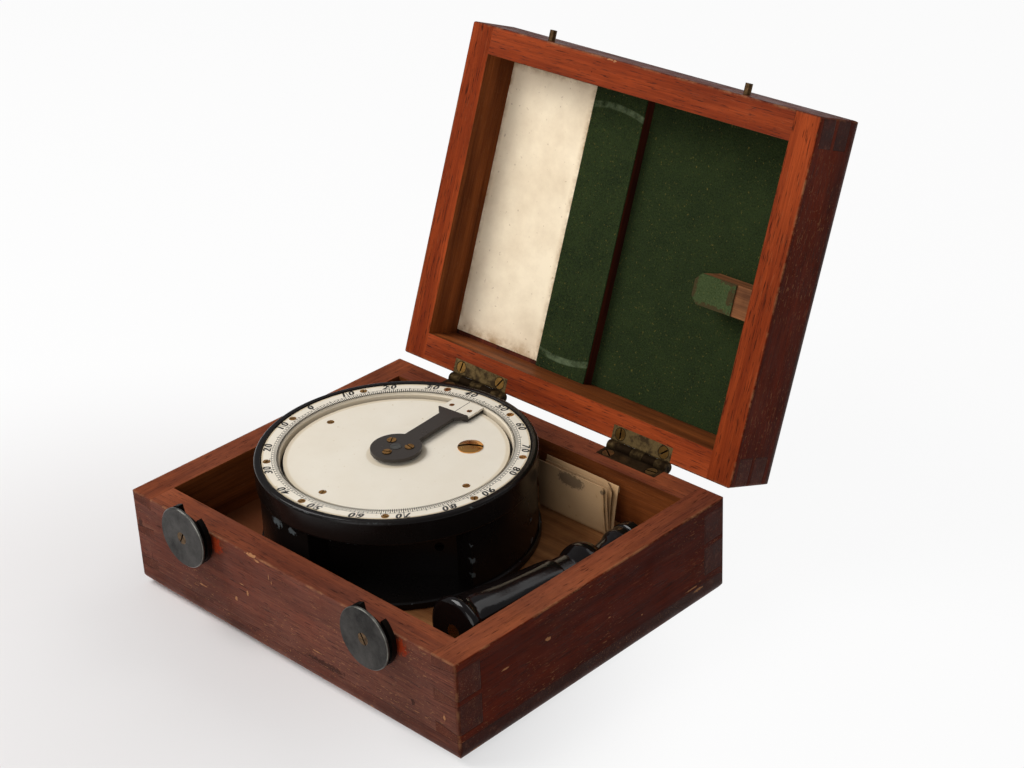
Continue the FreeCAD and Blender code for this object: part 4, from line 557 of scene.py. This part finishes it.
def aged_paper(name, ground, of_lid, edges, smudges=()):
    """Rag paper gone brown: matt, with cloudy stains, foxing in 3 mm spots, a darker border and
    smudges, each a centre and a reach. An edge is an axis, a level and a reach. The paper's grain
    is drawn at 1.11 mm, coarser than real, or it wouldn't show."""
    lining = settings("lining")
    skin = Surface(name, of_lid, Roughness=0.88, Specular_IOR_Level=0.1)
    cloud = skin.patches(35.7, 0.4, 0.75, 5.0, 0.65)
    skin.base = skin.blend(ground, lining.paper_stain, cloud, 0.35)
    foxing = skin.patches(3.03, 0.68, 0.74, 2.0, 0.5, (2.0, 5.0, 1.0))
    skin.tint(lining.paper_stain, foxing, 0.45)
    xyz = skin.add("SeparateXYZ", skin.place, out=None)
    border = 0.0
    for axis, level, reach in edges:
        off = skin.add("Math SUBTRACT", xyz[axis], level * MM)
        size = skin.add("Math ABSOLUTE", off)
        close = skin.add("MapRange", size, 0.0, reach * MM, 1.0, 0.0)
        border = skin.add("Math MAXIMUM", close, border)
    ragged = skin.patches(9.09, 0.35, 0.65, 5.0, 0.7, (1.0, 4.0, 2.0))
    skin.tint(lining.paper_stain, border, ragged, 0.85)
    for centre, reach in smudges:
        skin.tint(lining.smudge, skin.blot(centre, reach, 0.6), 0.7)
    return skin.finish(None, skin.patches(1.11, 0.2, 0.8, 2.0), 0.05 * MM, 0.4)


def aged_metal(name, bright, dull, roughness, size, cover=(0.35, 0.7), bump=0.4, of_lid=False,
               rings=(), turned=(), slot=None, across=UPRIGHT, rim=None, deep=0.1 * MM,
               axle=None, cut=None):
    """Cast or turned metal, polished once and handled since: bright where it is touched, tarnished
    in patches of a size in millimetres, with fine specks. Rings are dirt and painted shade in the
    gaps round flush screws: centre and radius. Turned gives the axes of a turned face, whose tool
    marks show as circles, and across the plane of that face, and the rim its radius, where a pale
    ring is a painted highlight of its bevelled edge. A slot gives the axis, the level of the heads
    and the way they face: dirt and painted shade fill what lies deeper. An axle is a radius round
    the hinges' pins within which the brass is black with old grease. A cut is a wide slot's
    middle, the direction across it and half its width: painted shade makes its walls as dark as
    its floor.
    Specks and tool marks are drawn several times as coarse as real."""
    metal = settings("metal")
    skin = Surface(name, of_lid, Metallic=1.0)
    tarnish = skin.patches(size, *cover, 6.0, 0.65)
    skin.base = skin.blend(bright, dull, tarnish)
    speck = skin.patches(0.769, 0.66, 0.74, 2.0, 0.5)
    skin.tint(dull, speck, 0.5)
    rough = skin.add("MapRange", tarnish, 0.0, 1.0, roughness, roughness + 0.22)
    height = skin.add("Math ADD", tarnish, speck)
    # Dirt and painted shade in the gaps round flush screw heads
    for centre, radius in rings:
        skin.tint(metal.slot, skin.near(skin.away(centre), radius, 0.25 * MM), 0.8)
    if turned:
        nearest, *others = [skin.away(centre, across) for centre in turned]
        for other in others:
            nearest = skin.add("Math MINIMUM", nearest, other)
        # Painted highlight: a pale ring along the rim's bevel
        if rim:
            skin.tint(metal.pale, skin.near(nearest, rim, 0.32 * MM),
                      skin.patches(6.67, 0.3, 0.6, 4.0, 0.6), 0.6)
        wave = skin.add("Math MULTIPLY", nearest, math.tau / (0.7 * MM))
        wave = skin.add("Math SINE", wave)
        height = skin.add("Math MULTIPLY_ADD", wave, 0.35, height)
    # Darkening masks: old grease, and dirt with painted shade in slots
    dirt = []
    if axle:
        off = skin.away(HINGE, END_ON)
        dirt.append((skin.add("MapRange", off, axle, axle * 1.25, 0.8, 0.0), 0.2))
    # Dirt and painted shade in what lies below the heads' level
    if slot:
        axis, level, facing = slot
        depth = skin.add("SeparateXYZ", skin.place, out=axis)
        below = skin.add("Math MULTIPLY_ADD", depth, -facing, level * facing)
        dirt.append((skin.add("MapRange", below, deep, deep * 1.6), 0.5))
    # Painted shade: a wide slot's walls as dark as its floor
    if cut:
        middle, over_it, half = cut
        off = skin.add("VectorMath SUBTRACT", skin.place, middle)
        off = skin.add("VectorMath DOT_PRODUCT", off, over_it, out="Value")
        off = skin.add("Math ABSOLUTE", off)
        dirt.append((skin.add("MapRange", off, half, half * 1.12, 1.0, 0.0), 0.5))
    for mask, roughened in dirt:
        skin.tint(metal.slot, mask)
        rough = skin.add("Math MULTIPLY_ADD", mask, roughened, rough)
    return skin.finish(rough, height, 0.04 * MM, bump)


def black_lacquer(name, ground, chip_share=(0.76, 0.79), rims=(), chipped=(), rough=(0.16, 0.36),
                  gloss=0.18):
    """Stoved black lacquer on brass: deep and glossy, dusty, with grey chips along its edges. Rims
    are level and radius about the dial's axis, chipped places are a centre and a reach. Chips are
    3 to 5 mm, and the orange peel 1.43 mm."""
    metal = settings("metal")
    skin = Surface(name, Specular_IOR_Level=gloss)
    chips = skin.patches((4.35, 4.35, 3.33), *chip_share, 3.0, 0.6)
    height = skin.add("SeparateXYZ", skin.place, out=2)
    off = skin.away(DIAL, LYING)
    for level, radius in rims:
        worn = skin.patches((5.26, 5.26, 2.5), 0.61, 0.67, 5.0, 0.7, (5, 2, 1))
        for edge in (skin.near(height, level * MM, 0.7 * MM),
                     skin.near(off, radius * MM, 0.7 * MM)):
            worn = skin.add("Math MULTIPLY", worn, edge)
        chips = skin.add("Math MAXIMUM", chips, worn)
    for centre, reach in chipped:
        chips = skin.add("Math MAXIMUM", chips, skin.blot(centre, reach, 1.6))
    skin.base = skin.blend(ground, metal.chipped, chips, 0.8)
    smear = skin.patches(28.6, 0.3, 0.75, 5.0, 0.6)
    dull = skin.add("MapRange", smear, 0.0, 1.0, *rough)
    dull = skin.add("Math MULTIPLY_ADD", chips, 0.3, dull)
    orange_peel = skin.patches(1.43, 0.2, 0.8, 2.0)
    down = skin.add("Math MULTIPLY_ADD", chips, -2.0, orange_peel)
    return skin.finish(dull, down, 0.03 * MM, 0.35)


def ivory_paint(name, rings):
    """Matt ivory paint on brass, yellowed beside its edges, with brush marks of 1.11 mm: rings are
    a radius about the dial's axis, a reach and a share."""
    dial = settings("dial")
    skin = Surface(name, Roughness=0.5, Specular_IOR_Level=0.4)
    off = skin.away(DIAL, LYING)
    cloud = skin.patches(33.3, 0.35, 0.75, 5.0, 0.6)
    skin.base = skin.blend(dial.face, dial.age, cloud, 0.14)
    for radius, reach, share in rings:
        skin.tint(dial.age, skin.near(off, radius * MM, reach * MM), share)
    skin.tint(dial.age, skin.patches(2.38, 0.7, 0.75, 2.0, 0.5), 0.5)
    return skin.finish(None, skin.patches(1.11, 0.2, 0.8, 2.0), 0.02 * MM, 0.25)


def printed_ink(name):
    """Black filler in engraved marks: flat and matt, a little worn in spots of 2 mm."""
    dial = settings("dial")
    skin = Surface(name, Roughness=0.6)
    skin.base = skin.blend(dial.ink, dial.age, skin.patches(2.0, 0.6, 0.85, 3.0), 0.15)
    return skin.finish()


def silvered_glass(name):
    """Glass silvered on its back: a mirror with brown spots of 4 mm where the silver went."""
    skin = Surface(name, Metallic=1.0)
    spots = skin.patches(3.85, 0.66, 0.72)
    skin.base = skin.blend(colour("#C8CCCC"), colour("#6E6A60"), spots)
    return skin.finish(skin.add("MapRange", spots, 0.0, 1.0, 0.03, 0.4))


# Ways to make a piece

def deselect():
    bpy.ops.object.select_all(action="DESELECT")


def begin(name):
    """Name the object just added."""
    piece = bpy.context.object
    piece.name = name
    piece.data.name = name
    return piece


def settle(piece):
    """Move an object's place into its mesh."""
    deselect()
    piece.select_set(True)
    bpy.context.view_layer.objects.active = piece
    bpy.ops.object.transform_apply(location=True, rotation=True, scale=True)


def pick(piece, kind, test):
    """Select only the points or faces that pass a test, and go on in edit mode."""
    bpy.ops.object.mode_set(mode="EDIT")
    bpy.ops.mesh.select_mode(type=kind)
    bpy.ops.mesh.select_all(action="DESELECT")
    bpy.ops.object.mode_set(mode="OBJECT")
    for item in piece.data.vertices if kind == "VERT" else piece.data.polygons:
        item.select = test(item)
    bpy.ops.object.mode_set(mode="EDIT")


def wear_material(piece, material):
    piece.data.materials.clear()
    piece.data.materials.append(material)


def thicken(piece, direction, swell, middle, strength, thickness, side, smooth):
    """Press a flat piece out of its plane in soft swells, and give it its thickness. The side is
    where the thickness goes, and edges under an angle in degrees are shaded smooth."""
    clouds = bpy.data.textures.new(piece.name + "_swells", "CLOUDS")
    clouds.noise_scale = swell
    press = piece.modifiers.new("swells", "DISPLACE")
    press.texture = clouds
    press.texture_coords = "LOCAL"
    press.direction = direction
    press.mid_level = middle
    press.strength = strength
    bpy.ops.object.modifier_apply(modifier=press.name)
    thick = piece.modifiers.new("thickness", "SOLIDIFY")
    thick.thickness = thickness
    thick.offset = side
    bpy.ops.object.modifier_apply(modifier=thick.name)
    bpy.ops.object.shade_smooth_by_angle(angle=math.radians(smooth))


def open_like_lid(piece):
    """Turn a piece made on the shut lid to the open one."""
    piece.matrix_world = (Matrix.Translation(HINGE) @ Matrix.Rotation(-OPEN_ANGLE, 4, "X")
                          @ Matrix.Translation(-HINGE) @ piece.matrix_world)
    settle(piece)


class BOX_OT_stage(Operator):
    """Set up the floor, the lamps and the camera"""

    bl_idname = "box.stage"
    bl_label = "Stage"

    def execute(self, context):
        studio = settings("studio")
        scene = context.scene
        scene.view_settings.view_transform = "Standard"

        # White paper that fades to the white of the background away from the box
        white = {"Color": (1, 1, 1, 1), "Strength": 1.0}
        bpy.ops.mesh.primitive_plane_add(size=12, location=(0, 0, 0))
        floor = begin("studio_floor")
        skin = Surface("floor_paper", Roughness=0.55, Base_Color=rgba(studio.floor))
        shade, shaded_to, white_from = (-0.1, -0.17, 0), 0.07, 0.34
        fade = skin.add("MapRange", skin.away(shade), shaded_to, white_from, 0.0, 0.93,
                        interpolation_type="SMOOTHSTEP")
        seen = skin.add("LightPath", out=None)
        ray = skin.add("Math MAXIMUM", seen["Is Camera Ray"], seen["Is Glossy Ray"])
        share = skin.add("Math MULTIPLY", fade, ray)
        glow = skin.add("Emission", sockets=white)
        blend = skin.add("MixShader", share, skin.shader.outputs[0], glow)
        output = skin.tree.nodes["Material Output"]
        skin.tree.links.new(blend, output.inputs["Surface"])
        wear_material(floor, skin.material)

        world = bpy.data.worlds.new("studio_room")
        scene.world = world
        world.use_nodes = True
        tree = world.node_tree
        background = tree.nodes["Background"]
        background.inputs["Color"].default_value = rgba(studio.room)
        background.inputs["Strength"].default_value = studio.room_strength
        seen = add_node(tree, "LightPath", out="Is Camera Ray")
        blend = add_node(tree, "MixShader", seen, background.outputs[0],
                         add_node(tree, "Background", sockets=white))
        tree.links.new(blend, tree.nodes["World Output"].inputs["Surface"])

        aim = Vector((0, 0.02, 0.06))
        for name, place, size, power in (
            ("key_lamp", (-0.75, -0.55, 1.25), 0.9, studio.key_power),
            ("fill_lamp", (0.5, -1.3, 0.7), 1.0, studio.fill_power),
            ("back_lamp", (0.2, 1.2, 1.3), 0.9, studio.back_power),
        ):
            bpy.ops.object.light_add(type="AREA", location=place)
            lamp = context.object
            lamp.name = name
            lamp.data.size = size
            lamp.data.energy = power
            beam = aim - Vector(place)
            lamp.rotation_euler = beam.to_track_quat("-Z", "Y").to_euler()

        bpy.ops.object.camera_add(location=studio.eye)
        camera = context.object
        camera.name = "photo_camera"
        forward = Vector(studio.forward).normalized()
        right = forward.cross(Vector(studio.up)).normalized()
        turn = Matrix((right, right.cross(forward), -forward)).transposed()
        camera.matrix_world = Matrix.Translation(studio.eye) @ turn.to_4x4()
        camera.data.lens = studio.lens
        camera.data.sensor_width = 36
        camera.data.sensor_fit = "HORIZONTAL"
        camera.data.clip_start = 0.05
        scene.camera = camera
        return {"FINISHED"}


class BOX_OT_boards(Operator):
    """Finish the boards of the base and the lid"""

    bl_idname = "box.boards"
    bl_label = "Boards"

    def execute(self, context):
        wood = settings("wood")
        boards = ("base_front", "base_back", "base_left", "base_right", "base_bottom",
                  "lid_front", "lid_back", "lid_left", "lid_right", "lid_top")
        for number, board in enumerate(boards):
            across = board.endswith(("left", "right"))
            dress(shellacked_wood(board, across, number * 3.1 + 0.4), board)
        dress(oiled_wood("oiled_floor", False, False, 1.3, wood.floor_dark, wood.floor_light,
                         soiled=True), "inner_floor")
        dress(oiled_wood("oiled_raised_board", True, True, 2.6, colour("#2A0F08"),
                         colour("#6B2E1B")), "raised_board")
        dress(oiled_wood("bare_block", False, True, 4.4, colour("#54301A"), colour("#A86E44")),
              "hold_down_block")
        return {"FINISHED"}


def cloth_slab(name, low, high, material, cells, cut_corners=0.0):
    """A sheet of baize as thick as the CAD solid, its face a little uneven, on the shut lid. Its
    two corners on the left may be cut off."""
    size = Vector(high) - Vector(low)
    middle = (Vector(high) + Vector(low)) / 2
    bpy.ops.mesh.primitive_grid_add(x_subdivisions=cells[0], y_subdivisions=cells[1], size=1,
                                    location=(middle.x * MM, middle.y * MM, low[2] * MM))
    piece = begin(name)
    piece.scale = (size.x * MM, size.y * MM, 1)
    settle(piece)
    if cut_corners:
        bpy.ops.object.mode_set(mode="EDIT")
        for y, side in ((low[1], -1), (high[1], 1)):
            bpy.ops.mesh.select_all(action="SELECT")
            bpy.ops.mesh.bisect(plane_co=((low[0] + cut_corners) * MM, y * MM, low[2] * MM),
                                plane_no=(-1, side, 0), clear_outer=True)
        bpy.ops.object.mode_set(mode="OBJECT")
    thicken(piece, "Z", swell=12 * MM, middle=0.0, strength=0.35 * MM,
            thickness=size.z * 0.9 * MM, side=1, smooth=40)
    wear_material(piece, material)
    open_like_lid(piece)
    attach(piece, "lid")
    return piece


class BOX_OT_lining(Operator):
    """Make the baize of the lid and finish the pasted paper and the pad"""

    bl_idname = "box.lining"
    bl_label = "Lining"

    def execute(self, context):
        lining = settings("lining")
        green = woollen_baize("woollen_baize", lining.baize, lining.baize_dark)
        rubbed = woollen_baize("rubbed_baize", lining.baize, lining.baize_dark,
                               arcs=(((-26.3, 1.2, 0), 73.1),))
        strip = cloth_slab("baize_strip", (-41.9, -82.4, 81.2), (-5.1, 82.4, 82.2), rubbed,
                           (40, 120))
        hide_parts("strip_baize")
        main = cloth_slab("baize_main", (-4.9, -82.4, 88.2), (106.4, 82.4, 89.2), green,
                          (110, 150))
        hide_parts("main_baize")
        along_x, along_y = 0, 1
        edges = ((along_x, -42, 4), (along_x, -106.5, 3), (along_y, 80, 9), (along_y, -80, 4))
        dress(aged_paper("pasted_paper", lining.paper, True, edges), "paper_label")
        faded = woollen_baize("faded_baize", lining.pad, lining.baize, worn=(
            ((60, 7, 72), (4.0, 22.0, 6.0)), ((74, 15.5, 72), (24.0, 4.0, 6.0)),
            ((82, -1.5, 72), (12.0, 3.0, 6.0)), ((85, 6, 72), (5.0, 8.0, 6.0))))
        pad = cloth_slab("baize_pad", (60, -1.5, 72), (87, 15.5, 73), faded, (54, 34),
                         4.0)
        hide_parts("hold_down_pad")
        return {"FINISHED"}


class BOX_OT_fittings(Operator):
    """Finish the hinges, the screws and the catches"""

    bl_idname = "box.fittings"
    bl_label = "Hinges and catches"

    def execute(self, context):
        metal = settings("metal")

        # The outermost screw heads touch the sides of their box; each hinge has a second row
        low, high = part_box("base_leaf_screws")
        head = (high.y - low.y) / 2
        across = (low.y + high.y) / 2
        outer = high.x - head
        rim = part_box("base_back")[1].z
        between_screws, dirt_and_shade_width, greasy = 30.5 * MM, 0.15 * MM, 3.2 * MM
        # Seats get a dark ring of dirt and painted shade round each head
        seats = [(Vector((sign * (outer - step), across, rim)), head + dirt_and_shade_width)
                 for sign in (-1, 1) for step in (0, between_screws)]
        dress(aged_metal("tarnished_hinge_brass", metal.hinge_dull, metal.slot, 0.5, 8.33,
                         (0.3, 0.75), 0.7, rings=seats, axle=greasy),
              "base_hinge_leaves", "hinge_pins", "bottom_screws")
        dress(aged_metal("rubbed_hinge_brass", metal.hinge, metal.hinge_dull, 0.48, 5.26,
                         (0.42, 0.6), 0.8, True, seats, axle=greasy), "lid_hinge_leaves")
        # The hinge screws' slots are filled with dirt and painted shade
        dress(aged_metal("lid_hinge_screw_brass", metal.brass, metal.hinge_dull, 0.3, 3.85,
                         (0.45, 0.8), 0.4, True, slot=(2, rim + 0.2 * MM, -1)),
              "lid_leaf_screws")
        dress(aged_metal("base_hinge_screw_brass", metal.hinge, metal.hinge_dull, 0.35, 3.85,
                         (0.4, 0.7), slot=(2, rim, 1)), "base_leaf_screws")

        discs = ("left_catch_disc", "right_catch_disc")
        axes = [sum(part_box(name), Vector()) / 2 for name in discs]
        low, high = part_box(discs[0])
        # The discs' rims get a painted highlight
        dress(aged_metal("darkened_gunmetal", metal.gunmetal, metal.gunmetal_dark, 0.3, 14.3,
                         (0.34, 0.72), 0.35, turned=axes, rim=(high.x - low.x) / 2), *discs)
        dress(aged_metal("blackened_gunmetal", metal.gunmetal_dark, metal.slot, 0.42, 8.33,
                         (0.3, 0.7)), "left_catch_cam", "right_catch_cam", "catch_plates")
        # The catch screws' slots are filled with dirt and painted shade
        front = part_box("catch_screws")[0].y
        dress(aged_metal("bronzed_catch_screws", metal.bronze, metal.slot, 0.4, 2.5, (0.4, 0.75),
                         0.5, slot=(1, front, -1)), "catch_screws")

        # The heads of small screws are shallow
        # Their slots are filled with dirt and painted shade
        for name, deep in (("limb_screws", 0.03), ("dial_screws", 0.03), ("hub_screws", 0.1),
                           ("vernier_screws", 0.03)):
            dress(aged_metal("slotted_brass_" + name, metal.bright, metal.brass_dull, 0.25, 2.0,
                             (0.46, 0.64), slot=(2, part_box(name)[1].z, 1), deep=deep * MM), name)
        dress(aged_metal("aged_brass", metal.brass, metal.brass_dull, 0.25, 3.85, (0.42, 0.8)),
              "foot_screws", "spindle_bush", "handle_socket", "butt_cap", "ferrule_screw",
              "handle_stud")
        dress(aged_metal("tarnished_pins", metal.bronze, metal.slot, 0.4, 3.33, (0.3, 0.8)),
              "catch_pins")
        # The clamp screw's slot is dark along walls and floor as painted shade
        middle = sum(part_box("mirror_clamp_screw"), Vector()) / 2
        turn = math.radians(38)
        dress(aged_metal("turned_brass_screw", metal.bright, metal.brass, 0.2, 5.0, (0.5, 0.85),
                         0.6, turned=[middle], across=LYING,
                         cut=(middle, (-math.sin(turn), math.cos(turn), 0), 0.76 * MM)),
              "mirror_clamp_screw")
        dress(aged_metal("worn_steel_spindle", metal.pale, metal.gunmetal, 0.3, 3.33),
              "index_spindle")
        return {"FINISHED"}


class BOX_OT_instrument(Operator):
    """Finish the instrument's case, dials, arm and mirrors"""

    bl_idname = "box.instrument"
    bl_label = "Instrument"

    def execute(self, context):
        metal = settings("metal")
        low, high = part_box("bezel")
        rim = (high.x - low.x) / 2 / MM
        case = black_lacquer("stoved_black_lacquer", metal.lacquer, rims=(
            (31.0, 75.0), (low.z / MM, rim), (high.z / MM, rim)), chipped=(
            ((-32.7, -72.8, 62.0), (7.6, 7.6, 5.0)),
            ((-19.4, -74.2, 62.0), (4.6, 4.6, 3.1)),
            ((52.5, -19.9, 55.5), (4.2, 4.2, 2.8)),
            ((52.8, -18.7, 46.6), (5.0, 5.0, 3.4)),
            ((52.8, -18.6, 38.1), (4.2, 4.2, 2.8)),
            ((48.0, 30.6, 46.4), (3.0, 3.0, 2.0)),
            ((47.9, 30.8, 33.9), (3.6, 3.6, 2.4))))
        dress(case, "foot_disc", "drum_wall", "eye_plate", "bezel", "dial_plate",
              "horizon_mirror_frame", "index_mirror_frame")
        dress(black_lacquer("worn_black_arm", metal.arm, (0.74, 0.78)), "index_arm")
        dress(ivory_paint("ivory_ring", ((61.4, 1.1, 0.3), (70.7, 0.7, 0.5))), "limb_ring")
        dress(ivory_paint("ivory_dial", ((59.7, 1.6, 0.35), (14.5, 1.2, 0.3))), "inner_dial")
        dress(ivory_paint("ivory_vernier", ()), "vernier_plate")
        dress(silvered_glass("silvered_glass"), "horizon_mirror", "index_mirror")
        return {"FINISHED"}


def ring_of_marks(name, steps, inner, outer, width, top):
    """Thin raised marks round the dial: one is made and spun round the axis."""
    middle = (inner + outer) / 2 * MM
    bpy.ops.mesh.primitive_cube_add(size=1, location=(DIAL.x + middle, DIAL.y, top),
                                    scale=((outer - inner) * MM, width, INK_LIFT))
    piece = begin(name)
    settle(piece)
    bpy.ops.object.mode_set(mode="EDIT")
    bpy.ops.mesh.select_all(action="SELECT")
    bpy.ops.mesh.spin(steps=steps, dupli=True, angle=math.tau, center=(DIAL.x, DIAL.y, 0),
                      axis=(0, 0, 1))
    bpy.ops.mesh.select_all(action="SELECT")
    bpy.ops.mesh.remove_doubles(threshold=0.001 * MM)
    bpy.ops.object.mode_set(mode="OBJECT")
    return piece


def ring_line(name, radius, width, top):
    """A thin raised circle on the dial."""
    bpy.ops.mesh.primitive_cylinder_add(vertices=360, radius=radius * MM + width / 2,
                                        depth=INK_LIFT, end_fill_type="NGON",
                                        location=(DIAL.x, DIAL.y, top))
    piece = begin(name)
    settle(piece)
    pick(piece, "FACE", lambda face: abs(face.normal.z) > 0.5)
    bpy.ops.mesh.inset(thickness=width)
    bpy.ops.mesh.bridge_edge_loops()
    bpy.ops.object.mode_set(mode="OBJECT")
    return piece


def joined(name, pieces):
    deselect()
    for piece in pieces:
        piece.select_set(True)
    bpy.context.view_layer.objects.active = pieces[0]
    bpy.ops.object.join()
    return begin(name)


def figure_strike(name, value, angle, aside, top, lift):
    """One strike of a figure on the ring, upright as seen from the dial's middle."""
    dial = settings("dial")
    turn = Matrix.Translation(DIAL) @ Matrix.Rotation(angle - math.tau / 4, 4, "Z")
    radius = 68.2 * MM
    bpy.ops.object.text_add(location=turn @ Vector((aside, radius, top)),
                            rotation=(0, 0, angle - math.tau / 4))
    text = bpy.context.object.data
    text.body = str(value)
    text.size = dial.digit
    text.align_x = "CENTER"
    text.align_y = "CENTER"
    text.space_character = 1.5
    text.shear = 0.2
    text.extrude = lift / 2
    text.offset = 0.04 * MM
    bpy.ops.object.convert(target="MESH")
    piece = begin(name)
    settle(piece)
    return piece


class BOX_OT_dial_marks(Operator):
    """Draw the marks and plain figures of the graduated ring and the vernier's line"""

    bl_idname = "box.dial_marks"
    bl_label = "Dial marks"

    def execute(self, context):
        dial = settings("dial")
        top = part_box("limb_ring")[1].z
        ink = printed_ink("black_filler")
        line = dial.line
        # How many short marks one mark stands for, and its inner and outer radius in millimetres
        pieces = [ring_of_marks(name, dial.whole_turn_marks // every, inner, outer, line, top)
                  for name, every, inner, outer in (
                      ("short_marks", 1, 61.7, 64.5), ("unit_marks", 2, 64.4, 65.5),
                      ("five_marks", 10, 65.4, 66.5), ("ten_marks", 20, 66.4, 70.3))]
        pieces += [ring_line("inner_circle", 62.7, line * 0.5, top),
                   ring_line("outer_circle", 65.5, line * 0.4, top)]
        scale = joined("ring_marks", pieces)
        wear_material(scale, ink)
        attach(scale, "sextant")

        # Three strikes side by side make the strokes bold and keep the figures' eyes open
        figures = []
        for number in range(18):
            value = 10 * (number if number < 10 else 18 - number)
            for strike in (-1, 0, 1):
                figures.append(figure_strike(
                    "figure_" + str(len(figures)), value, math.radians(180 - 20 * number),
                    strike * dial.strike, top, INK_LIFT * (1 + 0.1 * strike)))
        whole = joined("ring_figures", figures)
        wear_material(whole, ink)
        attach(whole, "sextant")

        # The vernier's line, made along x and turned to where the arm points
        long, radius, arm_angle = 13.0 * MM, 54.4 * MM, math.radians(95.3)
        bpy.ops.mesh.primitive_cube_add(size=1, scale=(long, line * 0.8, INK_LIFT),
                                        location=(radius, 0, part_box("vernier_plate")[1].z))
        pointer = begin("vernier_line")
        settle(pointer)
        to_arm = Matrix.Rotation(arm_angle, 4, "Z")
        pointer.matrix_world = Matrix.Translation(DIAL) @ to_arm
        settle(pointer)
        wear_material(pointer, ink)
        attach(pointer, "index_arm")
        return {"FINISHED"}


class BOX_OT_handle(Operator):
    """Finish the handle"""

    bl_idname = "box.handle"
    bl_label = "Handle"

    def execute(self, context):
        dress(black_lacquer("polished_black_grip", colour("#0E0908"), (0.8, 0.84),
                            rough=(0.06, 0.22), gloss=0.3), "handle_grip", "handle_ferrule")
        return {"FINISHED"}


def folded_sheet(name, ends, profile, corner, material):
    """A sheet of paper folded along its length: an edge between two ends is drawn out along the
    profile (depth and height in millimetres), one corner is cut, and the sheet is crumpled."""
    lining = settings("lining")
    start = profile[0]
    bpy.ops.mesh.primitive_plane_add(size=1, location=(sum(ends) / 2 * MM, start[0] * MM,
                                                       start[1] * MM))
    piece = begin(name)
    piece.scale = ((ends[1] - ends[0]) * MM, 0.001 * MM, 1)
    settle(piece)
    pick(piece, "VERT", lambda point: point.co.y > start[0] * MM)
    bpy.ops.mesh.delete(type="VERT")
    bpy.ops.mesh.select_all(action="SELECT")
    for one, two in zip(profile, profile[1:]):
        step = (0, (two[0] - one[0]) * MM, (two[1] - one[1]) * MM)
        bpy.ops.mesh.extrude_region_move(TRANSFORM_OT_translate={"value": step})
    bpy.ops.object.mode_set(mode="OBJECT")
    end = Vector((ends[1] * MM, profile[-1][0] * MM, profile[-1][1] * MM))
    pick(piece, "VERT", lambda point: (point.co - end).length < 0.1 * MM)
    bpy.ops.mesh.bevel(offset=corner * MM, offset_pct=0, segments=1, affect="VERTICES")
    bpy.ops.mesh.select_all(action="SELECT")
    bpy.ops.mesh.subdivide(number_cuts=5)
    bpy.ops.object.mode_set(mode="OBJECT")
    thicken(piece, "Y", swell=14 * MM, middle=0.5, strength=0.9 * MM,
            thickness=lining.leaf_thickness, side=0, smooth=35)
    wear_material(piece, material)
    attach(piece, "papers")
    return piece


class BOX_OT_papers(Operator):
    """Fold the sheets that stand behind the handle's end"""

    bl_idname = "box.papers"
    bl_label = "Papers"

    def execute(self, context):
        lining = settings("lining")
        paper = aged_paper("folded_rag_paper", lining.sheet, False, ((2, 26.5, 3), (0, 67, 2)),
                           (((43.5, 66.6, 52.5), (17.0, 8.0, 8.0)),
                            ((66.0, 66.6, 53.5), (2.6, 4.0, 2.6))))
        outer = folded_sheet("outer_sheet", (19.4, 66.9), (
            (66.4, 56.8), (66.6, 46.0), (66.9, 34.0), (67.2, 28.2), (67.8, 27.0), (68.6, 26.9),
            (69.3, 28.4), (70.2, 36.0), (72.0, 46.5), (74.1, 56.2)), 4.5, paper)
        inner = folded_sheet("inner_sheet", (20.6, 68.4), (
            (67.6, 55.9), (67.7, 46.0), (68.0, 35.0), (68.1, 30.0), (68.5, 29.2), (69.0, 30.0),
            (69.5, 37.0), (70.5, 46.0), (71.7, 54.6)), 2.5, paper)
        back = folded_sheet("back_sheet", (30.0, 69.8), (
            (69.9, 27.2), (71.3, 34.0), (73.0, 44.0), (75.2, 54.0), (75.6, 54.6), (76.0, 54.2),
            (75.4, 49.0)), 2.0, paper)
        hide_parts("folded_papers")
        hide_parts("folded_papers")
        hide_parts("folded_papers")
        return {"FINISHED"}


class BOX_PT_panel(Panel):
    """Lists the steps that dress the box"""

    bl_idname = "BOX_PT_panel"
    bl_label = "Sextant Box"
    bl_space_type = "VIEW_3D"
    bl_region_type = "UI"
    bl_category = "Box"

    def draw(self, context):
        for operator in OPERATORS:
            self.layout.operator(operator.bl_idname)
        for name, group in GROUPS.items():
            column = self.layout.column()
            column.label(text=group.__doc__)
            for prop in group.__annotations__:
                column.prop(settings(name), prop)


GROUPS = {"studio": StudioSettings, "wood": WoodSettings, "lining": LiningSettings,
          "metal": MetalSettings, "dial": DialSettings}
OPERATORS = (BOX_OT_stage, BOX_OT_boards, BOX_OT_lining, BOX_OT_fittings, BOX_OT_instrument,
             BOX_OT_dial_marks, BOX_OT_handle, BOX_OT_papers)


def register():
    for group in GROUPS.values():
        bpy.utils.register_class(group)
    for name, group in GROUPS.items():
        setattr(bpy.types.Scene, "box_" + name, PointerProperty(type=group))
    for operator in OPERATORS:
        bpy.utils.register_class(operator)
    bpy.utils.register_class(BOX_PT_panel)


def unregister():
    bpy.utils.unregister_class(BOX_PT_panel)
    for operator in reversed(OPERATORS):
        bpy.utils.unregister_class(operator)
    for name in GROUPS:
        delattr(bpy.types.Scene, "box_" + name)
    for group in reversed(GROUPS.values()):
        bpy.utils.unregister_class(group)


def main():
    register()
    for operator in OPERATORS:
        step = operator.bl_idname.split(".")[1]
        getattr(bpy.ops.box, step)()
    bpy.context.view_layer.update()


if __name__ == "__main__":
    main()
